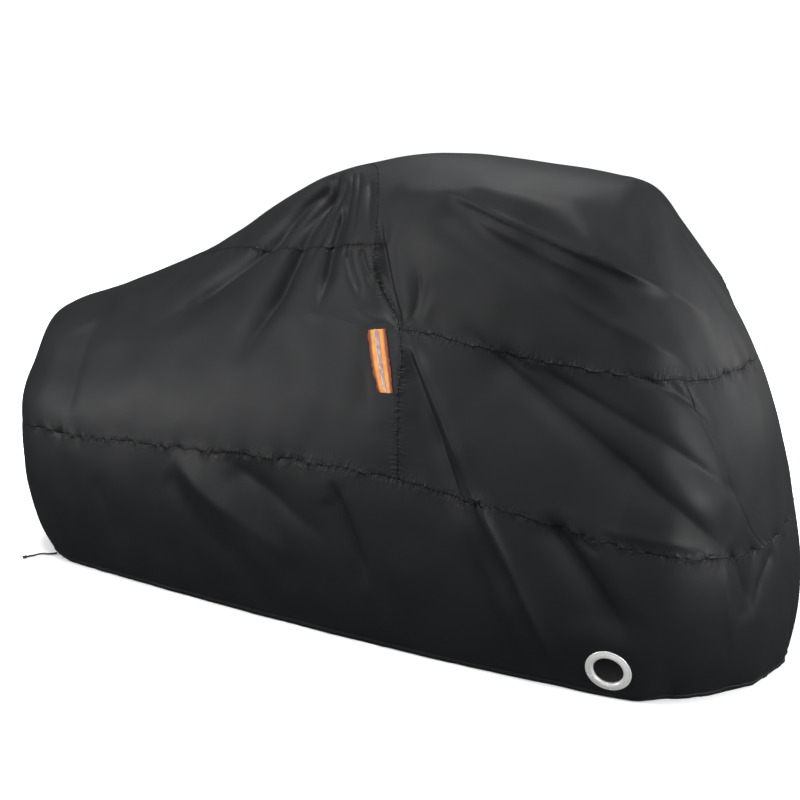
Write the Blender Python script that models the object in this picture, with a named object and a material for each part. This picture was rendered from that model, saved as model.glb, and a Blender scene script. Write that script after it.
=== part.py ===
"""A fitted cover for a bicycle, hollow, in the shape in which it hangs over the machine that it hides.

Run it with blender --background --python part.py, or from Blender's text editor.

x runs from the tail to the nose, y from the near side (minus) to the far side (plus), and z is the height
above the ground.  The cover's own skin is one smooth surface, place(around, up), which the panels share:
around is 0 at the middle of the tail, 1 at the middle of the nose on the near side, and 2 back at the tail
on the far side; up is 0 at the hem, 1 at the skirt seam, 2 at the belt, 3 at the shoulder and 4 at the ridge.
Each panel is a piece of that skin between its seams, given the thickness of the cloth.
"""

import math
from collections import namedtuple

import bmesh
import bpy
import numpy as np
from mathutils import Matrix, Vector

# ---------------------------------------------------------------- sizes, in metres

CLOTH = 0.0020            # coated cloth, with its seam allowance and its folds pressed in
HEM_CLOTH = 0.0045        # the hem is turned up twice round its elastic
SEAM_GAP = 0.0003         # between two panels, where the thread would be
SUPPORT_HEIGHT = 1.089    # the underside of the roof, where the handlebar holds the cover up
SUPPORT_X = 0.10

EYELET_X, EYELET_Z = 0.709, 0.066     # the middle of the lock hole, on the near side
EYELET_OUTER_R = 0.047
EYELET_INNER_R = 0.031
CLOTH_HOLE_R = 0.0365
EYELET_FRONT, EYELET_BACK = 0.0040, 0.0018   # how thick its front flange and its back one are
TAPE_X, TAPE_Z = 0.143, 0.636         # the middle of the reflective tape, on the near side
TAPE_WIDTH, TAPE_LENGTH, TAPE_THICK = 0.047, 0.152, 0.0010
STRIPE_WIDTH, STRIPE_THICK = 0.014, 0.0005
TAPE_LEAN = math.radians(21)          # its foot is nearer the nose than its head
FLAT_MARGIN, FLAT_FADE = 0.036, 0.045 # the cloth lies flat this far round the eyelet and the tape, then fades
HEM_TIE = 0.013                       # below this height the hem's own line holds the cloth back from that

# The free end of the hem's cord: out of the hem at the tail, down to the ground and along it.
CORD_ROUTE = ((-0.9364, -0.3107, 0.0033), (-0.9420, -0.3220, 0.0033), (-0.9480, -0.3330, 0.0045),
              (-0.9560, -0.3430, 0.0070), (-0.9660, -0.3500, 0.0060), (-0.9760, -0.3570, 0.0033),
              (-0.9820, -0.3660, 0.0030), (-0.9838, -0.3750, 0.0030))
CORD_DIAMETER = 0.0050
KNOT_LENGTH, KNOT_DIAMETER = 0.016, 0.011

ROUND_STEPS = 32
MERGE = 0.00001
SHARP_ANGLE = math.radians(50)

# Colours, linear
BLACK_CLOTH = (0.028, 0.028, 0.031)
BLACK_CORD = (0.015, 0.015, 0.016)
STEEL = (0.62, 0.62, 0.64)
ORANGE = (0.90, 0.36, 0.06)
SILVER_GREY = (0.32, 0.27, 0.28)

# ---------------------------------------------------------------- the skin's tables

HEM, SKIRT, BELT, SHOULDER, RIDGE = range(5)

# Where each level line starts and ends, and how long its rounded ends are.
End = namedtuple("End", "level tail tail_round nose nose_round nose_square")
ENDS = (
    End("hem",      -1.130, 0.32, 0.968, 0.30, 2.1),
    End("skirt",    -1.206, 0.31, 0.949, 0.19, 2.6),
    End("belt",     -1.192, 0.29, 0.853, 0.18, 2.6),
    End("shoulder", -1.150, 0.23, 0.662, 0.13, 2.2),
    End("ridge",    -1.080, 0.20, 0.600, 0.08, 2.0),
)

# Half widths and heights of the level lines, a row for each cross section.
Section = namedtuple("Section", "x hem skirt skirt_z belt belt_z shoulder shoulder_z ridge_z")
SECTIONS = (
    Section(-1.20, 0.300, 0.335, 0.368, 0.275, 0.520, 0.200, 0.628, 0.665),
    Section(-0.90, 0.333, 0.362, 0.372, 0.265, 0.560, 0.140, 0.700, 0.742),
    Section(-0.55, 0.358, 0.376, 0.379, 0.265, 0.620, 0.105, 0.815, 0.865),
    Section(-0.20, 0.376, 0.392, 0.395, 0.275, 0.690, 0.115, 0.975, 1.038),
    Section(+0.10, 0.382, 0.397, 0.404, 0.290, 0.712, 0.180, 1.000, 1.090),
    Section(+0.40, 0.378, 0.397, 0.374, 0.310, 0.680, 0.225, 0.992, 1.064),
    Section(+0.70, 0.358, 0.386, 0.332, 0.310, 0.648, 0.225, 0.955, 1.002),
    Section(+1.00, 0.320, 0.343, 0.288, 0.290, 0.640, 0.200, 0.905, 0.905),
)

# The rounding of the ends in plan is a superellipse: 2 is an ellipse, more is squarer.
TAIL_SQUARE = 2.0
ARC_SHARE = 0.17          # the share of the way round that each rounded end takes

# The elastic draws the hem in, so the skirt bellies out just above it.
BELLY = 0.018
BELLY_LOW = 0.8                          # under 1, the belly is fullest below the middle
HEM_TUCK = np.array([2.0, 2.0, 0.6])     # how the skin leaves the hem; 1 is straight on to the skirt seam

# The seam that runs across the cover, from the skirt over the ridge, as its x at each height on the skin.
CROSS_SEAM = ((1.0, 0.230), (1.5, 0.205), (2.0, 0.170), (2.35, 0.085), (2.65, 0.075), (3.0, 0.050),
              (3.5, -0.020), (4.0, -0.105))
# The seam at each front corner, between the skirt and the belt.
CORNER_SEAM = ((1.0, 0.942), (1.5, 0.880), (2.0, 0.795))
# The lower edge of the saddle panel, as the place up the skin at each share of the way from the tail's
# middle to the cross seam.  The panel starts at the grid column SADDLE_COLUMN; before it the line is only a
# row of the grid.
SADDLE_SEAM = ((0.00, 2.90), (0.40, 3.10), (0.545, 3.30), (0.64, 2.93), (0.75, 2.65), (0.87, 2.55),
               (1.00, 2.55))
SADDLE_COLUMN = 16

# ---------------------------------------------------------------- the folds' table

# A fold runs on the skin from (x, z) to (x, z).  Round the nose and the tail x goes on growing or falling
# as the skin turns in to the middle, by END_RUN at the middle itself.  Over the roof z goes on growing, by
# ROOF_RUN at the ridge.  bow moves the middle of the fold to its left, seen along it, and width is its half
# width at its start, spread times that at its end.  rise is how far it stands out (plus) or sinks in
# (minus), and crest is the share of that by which the cloth on its left goes the other way.
END_RUN = 0.33
ROOF_RUN = 0.12
Fold = namedtuple("Fold", "name sides x0 z0 x1 z1 bow width spread rise crest")
FOLDS = (
    # the tail half, fanned out from the top of the cross seam
    Fold("fan_long",        "both", -0.11, 1.05, -0.60, 0.66, +0.012, 0.028, 1.3, -0.014, 0.35),
    Fold("fan_steep",       "near", -0.12, 1.03, -0.27, 0.57, -0.010, 0.024, 1.5, -0.013, 0.40),
    Fold("fan_upright",     "both", -0.06, 1.03, -0.07, 0.75, +0.004, 0.024, 1.2, -0.011, 0.35),
    Fold("fan_last",        "near", -0.01, 0.89, +0.05, 0.79, +0.000, 0.022, 1.0, -0.009, 0.30),
    Fold("fan_short",       "far",  -0.02, 0.98, -0.20, 0.66, +0.006, 0.026, 1.3, -0.009, 0.30),
    Fold("saddle_tuck",     "both", +0.01, 1.02, +0.04, 0.90, +0.000, 0.022, 1.0, -0.006, 0.20),
    Fold("pinch_tail_side", "both", +0.09, 0.90, +0.17, 0.71, -0.006, 0.024, 1.0, -0.010, 0.30),
    # the hood
    Fold("hood_crease",     "both", +0.27, 1.00, +0.77, 0.78, +0.012, 0.026, 1.0, -0.011, 0.50),
    Fold("hood_hollow",     "both", +0.22, 1.00, +0.72, 0.72, -0.006, 0.040, 1.1, -0.017, 0.25),
    Fold("hood_swell",      "both", +0.12, 0.96, +0.64, 0.70, -0.014, 0.052, 1.1, +0.010, 0.00),
    Fold("pinch_upright",   "both", +0.20, 0.85, +0.19, 0.72, +0.000, 0.022, 1.0, -0.006, 0.20),
    Fold("belt_hollow",     "near", +0.23, 0.75, +0.48, 0.65, +0.004, 0.028, 1.0, -0.007, 0.20),
    Fold("hood_shoulder",   "both", +0.07, 1.01, +0.64, 0.98, +0.000, 0.036, 1.0, +0.006, 0.00),
    # the side under the hood
    Fold("spine",           "both", +0.19, 0.70, +0.57, 0.03, +0.012, 0.023, 1.2, +0.012, 0.00),
    Fold("seam_hollow",     "both", +0.20, 0.69, +0.31, 0.37, -0.004, 0.024, 2.4, -0.017, 0.00),
    Fold("side_crease",     "both", +0.42, 0.69, +0.86, 0.37, +0.000, 0.030, 1.3, -0.016, 0.40),
    Fold("side_upper",      "near", +0.52, 0.67, +0.90, 0.43, +0.030, 0.026, 1.2, -0.010, 0.30),
    Fold("front_swell",     "both", +0.70, 0.42, +1.02, 0.40, +0.000, 0.050, 1.0, +0.006, 0.00),
    # the skirt
    Fold("skirt_crease",    "both", +0.55, 0.37, +0.78, 0.02, +0.034, 0.028, 1.4, -0.014, 0.30),
    Fold("tail_ridge",      "both", -0.42, 0.38, -0.08, 0.10, +0.010, 0.036, 1.2, +0.008, 0.00),
    Fold("tail_ridge_foot", "near", -0.44, 0.33, -0.20, 0.13, -0.008, 0.030, 1.2, -0.007, 0.00),
    Fold("tail_hollow",     "near", -0.22, 0.38, -0.03, 0.08, +0.022, 0.042, 1.1, -0.011, 0.25),
    Fold("mid_crease",      "near", +0.05, 0.34, +0.15, 0.12, +0.006, 0.026, 1.1, -0.007, 0.30),
    Fold("corner_left",     "near", +0.99, 0.31, +1.04, 0.16, +0.000, 0.022, 1.0, -0.007, 0.20),
    Fold("corner_right",    "near", +1.09, 0.31, +1.05, 0.16, +0.000, 0.022, 1.0, -0.006, 0.20),
    Fold("corner_far",      "far",  +1.02, 0.31, +1.00, 0.12, +0.000, 0.028, 1.0, -0.006, 0.20),
    Fold("tail_soft",       "near", -0.90, 0.64, -0.80, 0.42, +0.000, 0.036, 1.0, -0.005, 0.00),
    Fold("tail_soft_far",   "far",  -0.84, 0.62, -0.90, 0.40, +0.000, 0.036, 1.0, -0.005, 0.00),
)
FOLD_START, FOLD_END = 0.12, 0.22     # the share of its length over which a fold grows and dies away

# ---------------------------------------------------------------- the grid

# The grid's columns: shares of the way from the middle of the tail to the cross seam, with the steps in
# each stretch, then the steps from the middle of the nose to the corner seam and on to the cross seam.
TAIL_STRETCHES = ((0.000, 0.275, 8), (0.275, 0.545, 8), (0.545, 1.000, 20))
NOSE_END_STEPS, NOSE_SIDE_STEPS = 4, 36
# The grid's rows: the skirt's own places, then how many steps there are to each next seam.
SKIRT_ROWS = (0.0, 0.030, 0.042, 0.13, 0.24, 0.36, 0.48, 0.60, 0.74, 0.88)
SIDE_STEPS, WAIST_STEPS, ROOF_STEPS = 8, 6, 8
HEM_ROW = 1                           # the hem's doubled cloth reaches up to this row
FAR_STEP = 2                          # the far side, plainer, has every second row and column
STEP = 0.0005                         # for slopes of the skin, in its own terms
RIDGE_SIDE = 3.97                     # the skin's slope at the ridge is read just beside it


def column(rows, name):
    return np.array([getattr(row, name) for row in rows])


def smooth(x, xs, ys):
    """A smooth curve through the points (xs, ys), read at x."""
    xs, ys = np.asarray(xs, float), np.asarray(ys, float)
    slopes = np.gradient(ys, xs)
    x = np.clip(x, xs[0], xs[-1])
    k = np.clip(np.searchsorted(xs, x) - 1, 0, len(xs) - 2)
    h = xs[k + 1] - xs[k]
    t = (x - xs[k]) / h
    return (ys[k] * (1 + 2 * t) * (1 - t) ** 2 + h * slopes[k] * t * (1 - t) ** 2
            + ys[k + 1] * t * t * (3 - 2 * t) + h * slopes[k + 1] * t * t * (t - 1))


def level_line(level, along):
    """A level line's x and how far open the cover is there (0 at its ends, 1 along its side)."""
    end = ENDS[level]
    tail_power, nose_power = 2 / TAIL_SQUARE, 2 / end.nose_square
    tail_turn = np.clip(along / ARC_SHARE, 0, 1) * math.pi / 2
    nose_turn = np.clip((1 - along) / ARC_SHARE, 0, 1) * math.pi / 2
    side = np.clip((along - ARC_SHARE) / (1 - 2 * ARC_SHARE), 0, 1)
    from_x, to_x = end.tail + end.tail_round, end.nose - end.nose_round
    x = (from_x + (to_x - from_x) * side
         - end.tail_round * np.cos(tail_turn) ** tail_power
         + end.nose_round * np.cos(nose_turn) ** nose_power)
    return x, np.sin(tail_turn) ** tail_power * np.sin(nose_turn) ** nose_power


def level_points(around):
    """The points of the five level lines at a place round the cover, one array for each level."""
    turn = np.mod(around, 2)
    far = turn > 1
    along = np.where(far, 2 - turn, turn)
    sign = np.where(far, 1.0, -1.0)
    points = []
    section_x = column(SECTIONS, "x")
    for level, end in enumerate(ENDS):
        x, opening = level_line(level, along)
        width = 0 * x if level == RIDGE else smooth(x, section_x, column(SECTIONS, end.level))
        height = 0 * x if level == HEM else smooth(x, section_x, column(SECTIONS, end.level + "_z"))
        points.append(np.stack([x, sign * width * opening, height], axis=-1))
    return points


def outward(around):
    """The level direction that faces out of the hem."""
    ahead, behind = level_points(around + STEP)[HEM], level_points(around - STEP)[HEM]
    way = ahead - behind
    out = np.stack([way[..., 1], -way[..., 0], 0 * way[..., 0]], axis=-1)
    return out / np.linalg.norm(out, axis=-1, keepdims=True)


def base(around, up):
    """The skin before its folds: a smooth curve through the level lines, round over the ridge."""
    around, up = np.broadcast_arrays(np.asarray(around, float), np.asarray(up, float))
    lines = level_points(around)
    mirrored = lines[SHOULDER] * [1, -1, 1]
    below = lines[HEM] - (lines[SKIRT] - lines[HEM]) * HEM_TUCK
    chain = np.stack([below, *lines, mirrored])
    k = np.clip(np.floor(up).astype(int), 0, RIDGE - 1)
    t = (up - k)[..., None]
    p0, p1, p2, p3 = (np.take_along_axis(chain, (k + i)[None, ..., None], axis=0)[0] for i in range(4))
    point = 0.5 * (2 * p1 + (p2 - p0) * t + (2 * p0 - 5 * p1 + 4 * p2 - p3) * t ** 2
                   + (3 * p1 - p0 - 3 * p2 + p3) * t ** 3)
    belly = BELLY * np.sin(math.pi * np.clip(up, 0, 1) ** BELLY_LOW)
    return point + belly[..., None] * outward(around)


def normals(surface, around, up):
    """The unit normals of a surface(around, up), pointing out."""
    up = np.minimum(up, RIDGE_SIDE)
    low, high = np.maximum(up - STEP, 0), up + STEP
    along = surface(around + STEP, up) - surface(around - STEP, up)
    rising = surface(around, high) - surface(around, low)
    normal = np.cross(along, rising)
    return normal / np.maximum(np.linalg.norm(normal, axis=-1, keepdims=True), 1e-9)


def unrolled(around, point, up):
    """The place of a point on the unrolled skin, in the terms of the folds' table."""
    turn = np.mod(around, 2)
    along = np.where(turn > 1, 2 - turn, turn)
    opening = level_line(SKIRT, along)[1]
    run = point[..., 0] + END_RUN * (1 - opening) * np.where(along > 0.5, 1, -1)
    return run, point[..., 2] + ROOF_RUN * np.clip(up - SHOULDER, 0, 1)


def ease(x):
    x = np.clip(x, 0, 1)
    return x * x * (3 - 2 * x)


def fold_depth(around, point, up):
    """How far all the folds together move a point of the skin outwards."""
    run, height = unrolled(around, point, up)
    far = np.mod(around, 2) > 1
    total = np.zeros_like(run)
    for fold in FOLDS:
        start = np.array([fold.x0, fold.z0])
        way = np.array([fold.x1, fold.z1]) - start
        length = np.hypot(*way)
        way = way / length
        share = ((run - start[0]) * way[0] + (height - start[1]) * way[1]) / length
        aside = (height - start[1]) * way[0] - (run - start[0]) * way[1]
        aside = aside - fold.bow * 4 * share * (1 - share)
        width = fold.width * (1 + (fold.spread - 1) * np.clip(share, 0, 1))
        shape = np.exp(-(aside / width) ** 2) - fold.crest * np.exp(-(aside / width - 1.7) ** 2)
        fade = ease(share / FOLD_START) * ease((1 - share) / FOLD_END)
        side = {"near": ~far, "far": far, "both": True}[fold.sides]
        total += np.where(side, fold.rise * shape * fade, 0)
    return total


def folded(around, up):
    """The skin with its folds."""
    around, up = np.broadcast_arrays(np.asarray(around, float), np.asarray(up, float))
    point = base(around, up)
    out = normals(base, around, up)
    out = out * np.stack([np.ones_like(up), np.where(up >= RIDGE, 0, 1), ease(point[..., 2] / 0.05)], axis=-1)
    return point + out * fold_depth(around, point, up)[..., None]


def bisect(wrong_way, low, high):
    """The place between low and high where wrong_way(place) turns from true to false."""
    for _ in range(40):
        middle = (low + high) / 2
        go_on = wrong_way(middle)
        low, high = np.where(go_on, middle, low), np.where(go_on, high, middle)
    return (low + high) / 2


def around_at(x, up):
    """The place round the near side where the skin is at x, at each height up it."""
    up = np.asarray(up, float)
    return bisect(lambda a: base(a, up)[..., 0] < x, np.zeros_like(up), np.ones_like(up))


def locate(x, z):
    """The place on the near side of the skin at x and z."""
    up = np.array(1.0)
    for _ in range(8):
        around = around_at(x, up)
        up = bisect(lambda u: base(around, u)[..., 2] < z, np.array(0.0), np.array(3.0))
    return around, up


class Patch:
    """A flat place in the skin: its middle, its normal, the way up it and how long and wide it is."""

    def __init__(self, x, z, lean, half_length, half_width):
        around, up = locate(x, z)
        self.middle = folded(around, up)
        self.out = normals(base, around, up)
        upright = np.array([-math.sin(lean), 0, math.cos(lean)])
        self.up = upright - self.out * (upright @ self.out)
        self.up /= np.linalg.norm(self.up)
        self.right = np.cross(self.up, self.out)
        self.half_length, self.half_width = half_length, half_width

    def flatten(self, point, near):
        offset = point - self.middle
        aside = np.maximum(np.abs(offset @ self.right) - self.half_width, 0)
        above = np.maximum(np.abs(offset @ self.up) - self.half_length, 0)
        weight = 1 - ease((np.hypot(aside, above) - FLAT_MARGIN) / FLAT_FADE)
        weight = weight * ease((point[..., 2] + HEM_TIE) / (HEM_TIE * 2))
        weight = np.where(near & (np.abs(offset @ self.out) < FLAT_FADE * 2), weight, 0)
        return point - (weight * (offset @ self.out))[..., None] * self.out

    def matrix(self, lift):
        """The patch's own frame, with z out of the cloth, lifted off its middle."""
        columns = np.stack([self.right, self.up, self.out, self.middle + self.out * lift], axis=-1)
        return Matrix([*columns.tolist(), [0, 0, 0, 1]])


EYELET_PATCH = Patch(EYELET_X, EYELET_Z, 0, EYELET_OUTER_R * 0.7, EYELET_OUTER_R * 0.7)
TAPE_PATCH = Patch(TAPE_X, TAPE_Z, TAPE_LEAN, TAPE_LENGTH / 2, TAPE_WIDTH / 2)


def place(around, up):
    """The skin as it is built: folded, and flat under the eyelet and the tape."""
    point = folded(around, up)
    near = np.mod(around, 2) < 1
    for patch in (EYELET_PATCH, TAPE_PATCH):
        point = patch.flatten(point, near)
    return point


# ---------------------------------------------------------------- the grid of the whole skin

def seam_around(seam, up):
    """Where a seam, given as x at each height, is on the near side."""
    ups, xs = zip(*seam)
    up = np.clip(up, ups[0], ups[-1])
    return around_at(smooth(up, ups, xs), up)


def tail_shares():
    shares = [np.linspace(start, end, steps, endpoint=False) for start, end, steps in TAIL_STRETCHES]
    return np.append(np.concatenate(shares), 1.0)


TAIL_STEPS = sum(steps for _, _, steps in TAIL_STRETCHES)
HALF_STEPS = TAIL_STEPS + NOSE_SIDE_STEPS + NOSE_END_STEPS      # from the tail's middle to the nose's
SKIRT_TOP = len(SKIRT_ROWS)
BELT_ROW = SKIRT_TOP + SIDE_STEPS
SADDLE_ROW = BELT_ROW + WAIST_STEPS
RIDGE_ROW = SADDLE_ROW + ROOF_STEPS


def row_ups():
    """The height up the skin of each row of the grid at the cross seam."""
    waist = SADDLE_SEAM[-1][1]
    return np.concatenate([SKIRT_ROWS, np.linspace(SKIRT, BELT, SIDE_STEPS, endpoint=False),
                           np.linspace(BELT, waist, WAIST_STEPS, endpoint=False),
                           np.linspace(waist, RIDGE, ROOF_STEPS + 1)])


def near_grid():
    """The places (around, up) of the near half's grid, one row for each column of the grid."""
    ups = row_ups()
    waist = SADDLE_SEAM[-1][1]
    columns = []
    for share in tail_shares()[:-1]:
        seam_up = float(smooth(np.array(share), *zip(*SADDLE_SEAM)))
        below = SKIRT + (ups - SKIRT) * (seam_up - SKIRT) / (waist - SKIRT)
        above = seam_up + (ups - waist) * (RIDGE - seam_up) / (RIDGE - waist)
        up = np.where(ups <= SKIRT, ups, np.where(ups <= waist, below, above))
        columns.append((share * seam_around(CROSS_SEAM, up), up))
    cross, corner = seam_around(CROSS_SEAM, ups), seam_around(CORNER_SEAM, ups)
    for step in range(NOSE_SIDE_STEPS):
        columns.append((cross + (corner - cross) * step / NOSE_SIDE_STEPS, ups))
    for step in range(NOSE_END_STEPS + 1):
        columns.append((corner + (1 - corner) * step / NOSE_END_STEPS, ups))
    return np.array([c[0] for c in columns]), np.array([c[1] for c in columns])


def whole_grid():
    """The points of the whole skin's grid; its columns run right round from the tail's middle."""
    around, up = near_grid()
    around = np.concatenate([around, 2 - around[-2:0:-1]])
    up = np.concatenate([up, up[-2:0:-1]])
    points = place(around, up)
    points[:, RIDGE_ROW, 1] = 0
    points[:, 0, 2] = 0
    return points


def even_normals(polygons, points):
    """At each corner, the mean normal of the cells round it, whichever panels they belong to."""
    totals = {}
    for polygon in polygons:
        spots = np.array([points[corner] for corner in polygon])
        normal = np.cross(spots, np.roll(spots, -1, axis=0)).sum(axis=0)
        for corner in polygon:
            totals[corner] = totals.get(corner, 0) + normal
    return {corner: total / np.linalg.norm(total) for corner, total in totals.items()}


def panel_of(column, row):
    """The name of the panel that holds the grid cell at a column and a row."""
    near = column < HALF_STEPS
    side = "near" if near else "far"
    step = column if near else 2 * HALF_STEPS - 1 - column
    if row < SKIRT_TOP:
        return "skirt_" + side
    if step < TAIL_STEPS:
        return "panel_saddle" if row >= SADDLE_ROW and step >= SADDLE_COLUMN else "panel_tail"
    if row >= BELT_ROW:
        return "panel_hood"
    return "panel_nose" if step >= TAIL_STEPS + NOSE_SIDE_STEPS else "panel_side_" + side


def corner_of(column, row):
    """The grid point's own key: on the ridge, the far half shares the near half's points."""
    column %= 2 * HALF_STEPS
    return (2 * HALF_STEPS - column if row == RIDGE_ROW and column > HALF_STEPS else column, row)


def split(column, row, points):
    """A grid cell as two triangles, parted along the diagonal that bends less with its neighbours."""
    left, right = max(column - 1, 0), min(column + 2, HALF_STEPS)
    bottom, top = max(row - 1, 0), min(row + 2, RIDGE_ROW)
    a, b, c, d = (column, row), (column + 1, row), (column + 1, row + 1), (column, row + 1)
    rising_bend = points[left, bottom] + points[right, top] - points[a] - points[c]
    falling_bend = points[left, top] + points[right, bottom] - points[b] - points[d]
    if np.linalg.norm(rising_bend) <= np.linalg.norm(falling_bend):
        return (a, b, c), (a, c, d)
    return (b, c, d), (b, d, a)


def cells(points):
    """Each face's panel and its corners, counter-clockwise seen from outside."""
    for column in range(HALF_STEPS):
        for row in range(RIDGE_ROW):
            for triangle in split(column, row, points):
                yield panel_of(column, row), [corner_of(*corner) for corner in triangle]
    for column in range(HALF_STEPS, 2 * HALF_STEPS, FAR_STEP):
        for row in range(0, RIDGE_ROW, FAR_STEP):
            right, top = column + FAR_STEP, row + FAR_STEP
            corners = [(column, row), (right, row)]
            if right == 2 * HALF_STEPS:
                corners.append((right, row + 1))
            corners.append((right, top))
            if top == RIDGE_ROW:
                corners.append((column + 1, top))
            corners.append((column, top))
            if column == HALF_STEPS:
                corners.append((column, row + 1))
            yield panel_of(column, row), [corner_of(*corner) for corner in corners]


# ---------------------------------------------------------------- build

def seam_shifts(polygons, points, outs):
    """How far each point on a panel's seams draws back, so that the gap to its neighbour is even."""
    used = {}
    for polygon in polygons:
        for a, b in zip(polygon, polygon[1:] + polygon[:1]):
            used[a, b] = True
    inward = {}
    rim = [(a, b) for a, b in used if (b, a) not in used]
    for a, b in rim:
        if a[1] == 0 and b[1] == 0:
            continue
        way = points[b] - points[a]
        for corner in (a, b):
            side = np.cross(outs[corner], way)
            inward.setdefault(corner, []).append(side / np.linalg.norm(side))
    shifts = {}
    for corner, sides in inward.items():
        total = sum(sides)
        even = 1 + sides[0] @ sides[1] if len(sides) == 2 else 1
        shifts[corner] = total * SEAM_GAP / 2 / max(even, 0.3)
    return rim, shifts


def shell(name, polygons, points, outs):
    """A panel's solid: the cloth's outer face, its inner face and the edge between them."""
    rim, shifts = seam_shifts(polygons, points, outs)
    mesh = bmesh.new()
    outer, inner = {}, {}
    for corner in sorted({corner for polygon in polygons for corner in polygon}):
        thick = HEM_CLOTH if corner[1] <= HEM_ROW else CLOTH
        middle = points[corner] + shifts.get(corner, 0)
        for verts, lift in ((outer, thick / 2), (inner, -thick / 2)):
            spot = middle + outs[corner] * lift
            if corner[1] == 0:
                spot[2] = 0
            verts[corner] = mesh.verts.new(spot)
    for polygon in polygons:
        mesh.faces.new([outer[corner] for corner in polygon])
        mesh.faces.new([inner[corner] for corner in reversed(polygon)])
    for a, b in rim:
        # both panels at a seam split their edges' faces along the same diagonal
        if a < b:
            mesh.faces.new([outer[b], outer[a], inner[b]])
            mesh.faces.new([outer[a], inner[a], inner[b]])
        else:
            mesh.faces.new([outer[b], outer[a], inner[a]])
            mesh.faces.new([outer[b], inner[a], inner[b]])
    bmesh.ops.triangulate(mesh, faces=mesh.faces, quad_method="SHORT_EDGE", ngon_method="BEAUTY")
    return new_object(name, mesh)


def new_object(name, mesh):
    data = bpy.data.meshes.new(name)
    mesh.to_mesh(data)
    mesh.free()
    data.shade_smooth()
    data.set_sharp_from_angle(angle=SHARP_ANGLE)
    item = bpy.data.objects.new(name, data)
    bpy.context.collection.objects.link(item)
    return item


def make_panels():
    points = whole_grid()
    panels = {}
    for name, polygon in cells(points):
        panels.setdefault(name, []).append(polygon)
    outs = even_normals([polygon for polygons in panels.values() for polygon in polygons], points)
    return {name: shell(name, polygons, points, outs) for name, polygons in panels.items()}


def cut_lock_hole(skirt):
    """The round hole in the near skirt that the eyelet lines."""
    mesh = bmesh.new()
    bmesh.ops.create_cone(mesh, cap_ends=True, segments=ROUND_STEPS, radius1=CLOTH_HOLE_R,
                          radius2=CLOTH_HOLE_R, depth=0.03, matrix=EYELET_PATCH.matrix(0))
    cutter = new_object("lock_hole_cutter", mesh)
    cutter.hide_render = True
    cutter.display_type = "WIRE"
    cut = skirt.modifiers.new("lock hole", "BOOLEAN")
    cut.object = cutter
    return cutter


def make_eyelet():
    """A turned ring whose two flanges hold the cloth between them."""
    cloth = CLOTH / 2 + SEAM_GAP
    front, back = cloth + EYELET_FRONT, cloth + EYELET_BACK
    barrel = CLOTH_HOLE_R - SEAM_GAP
    outer, inner = EYELET_OUTER_R, EYELET_INNER_R
    profile = ((outer, cloth), (outer, cloth + EYELET_FRONT * 0.45), (outer - 0.0018, front - 0.0005),
               (outer - 0.0045, front), (inner + 0.0060, front), (inner + 0.0015, front - 0.0008),
               (inner, front - 0.0025), (inner, -back + 0.0010), (inner + 0.0012, -back),
               (outer - 0.0050, -back), (outer - 0.0035, -cloth), (barrel, -cloth), (barrel, cloth))
    mesh = bmesh.new()
    ring = [mesh.verts.new((radius, 0, lift)) for radius, lift in profile]
    edges = [mesh.edges.new((a, b)) for a, b in zip(ring, ring[1:] + ring[:1])]
    bmesh.ops.spin(mesh, geom=ring + edges, cent=(0, 0, 0), axis=(0, 0, 1), angle=math.tau,
                   steps=ROUND_STEPS, use_merge=True)
    bmesh.ops.remove_doubles(mesh, verts=mesh.verts, dist=MERGE)
    bmesh.ops.recalc_face_normals(mesh, faces=mesh.faces)
    bmesh.ops.transform(mesh, matrix=EYELET_PATCH.matrix(0), verts=mesh.verts)
    return new_object("lock_eyelet", mesh)


def make_strip(name, width, length, thick, lift):
    """A flat strip with cut corners, lying along the tape's place."""
    mesh = bmesh.new()
    cut = min(width, length) * 0.06
    x, y = width / 2, length / 2
    outline = [(x, y - cut), (x - cut, y), (cut - x, y), (-x, y - cut),
               (-x, cut - y), (cut - x, -y), (x - cut, -y), (x, cut - y)]
    face = mesh.faces.new([mesh.verts.new((*corner, 0)) for corner in outline])
    raised = bmesh.ops.extrude_face_region(mesh, geom=[face])
    verts = [item for item in raised["geom"] if isinstance(item, bmesh.types.BMVert)]
    bmesh.ops.translate(mesh, vec=(0, 0, thick), verts=verts)
    bmesh.ops.recalc_face_normals(mesh, faces=mesh.faces)
    bmesh.ops.transform(mesh, matrix=TAPE_PATCH.matrix(lift), verts=mesh.verts)
    return new_object(name, mesh)


def make_tape():
    lift = CLOTH / 2 + SEAM_GAP
    tape = make_strip("reflective_tape", TAPE_WIDTH, TAPE_LENGTH, TAPE_THICK, lift)
    stripe = make_strip("tape_stripe", STRIPE_WIDTH, TAPE_LENGTH - 0.004, STRIPE_THICK,
                        lift + TAPE_THICK + SEAM_GAP)
    return tape, stripe


def curve_through(route, spacing):
    """Points of one smooth curve through a route, about spacing apart."""
    route = np.array(route, float)
    along = np.concatenate([[0], np.cumsum(np.linalg.norm(np.diff(route, axis=0), axis=1))])
    steps = max(int(round(along[-1] / spacing)), 2)
    read = np.linspace(0, along[-1], steps + 1)
    return np.stack([smooth(read, along, route[:, axis]) for axis in range(3)], axis=-1)


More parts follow.
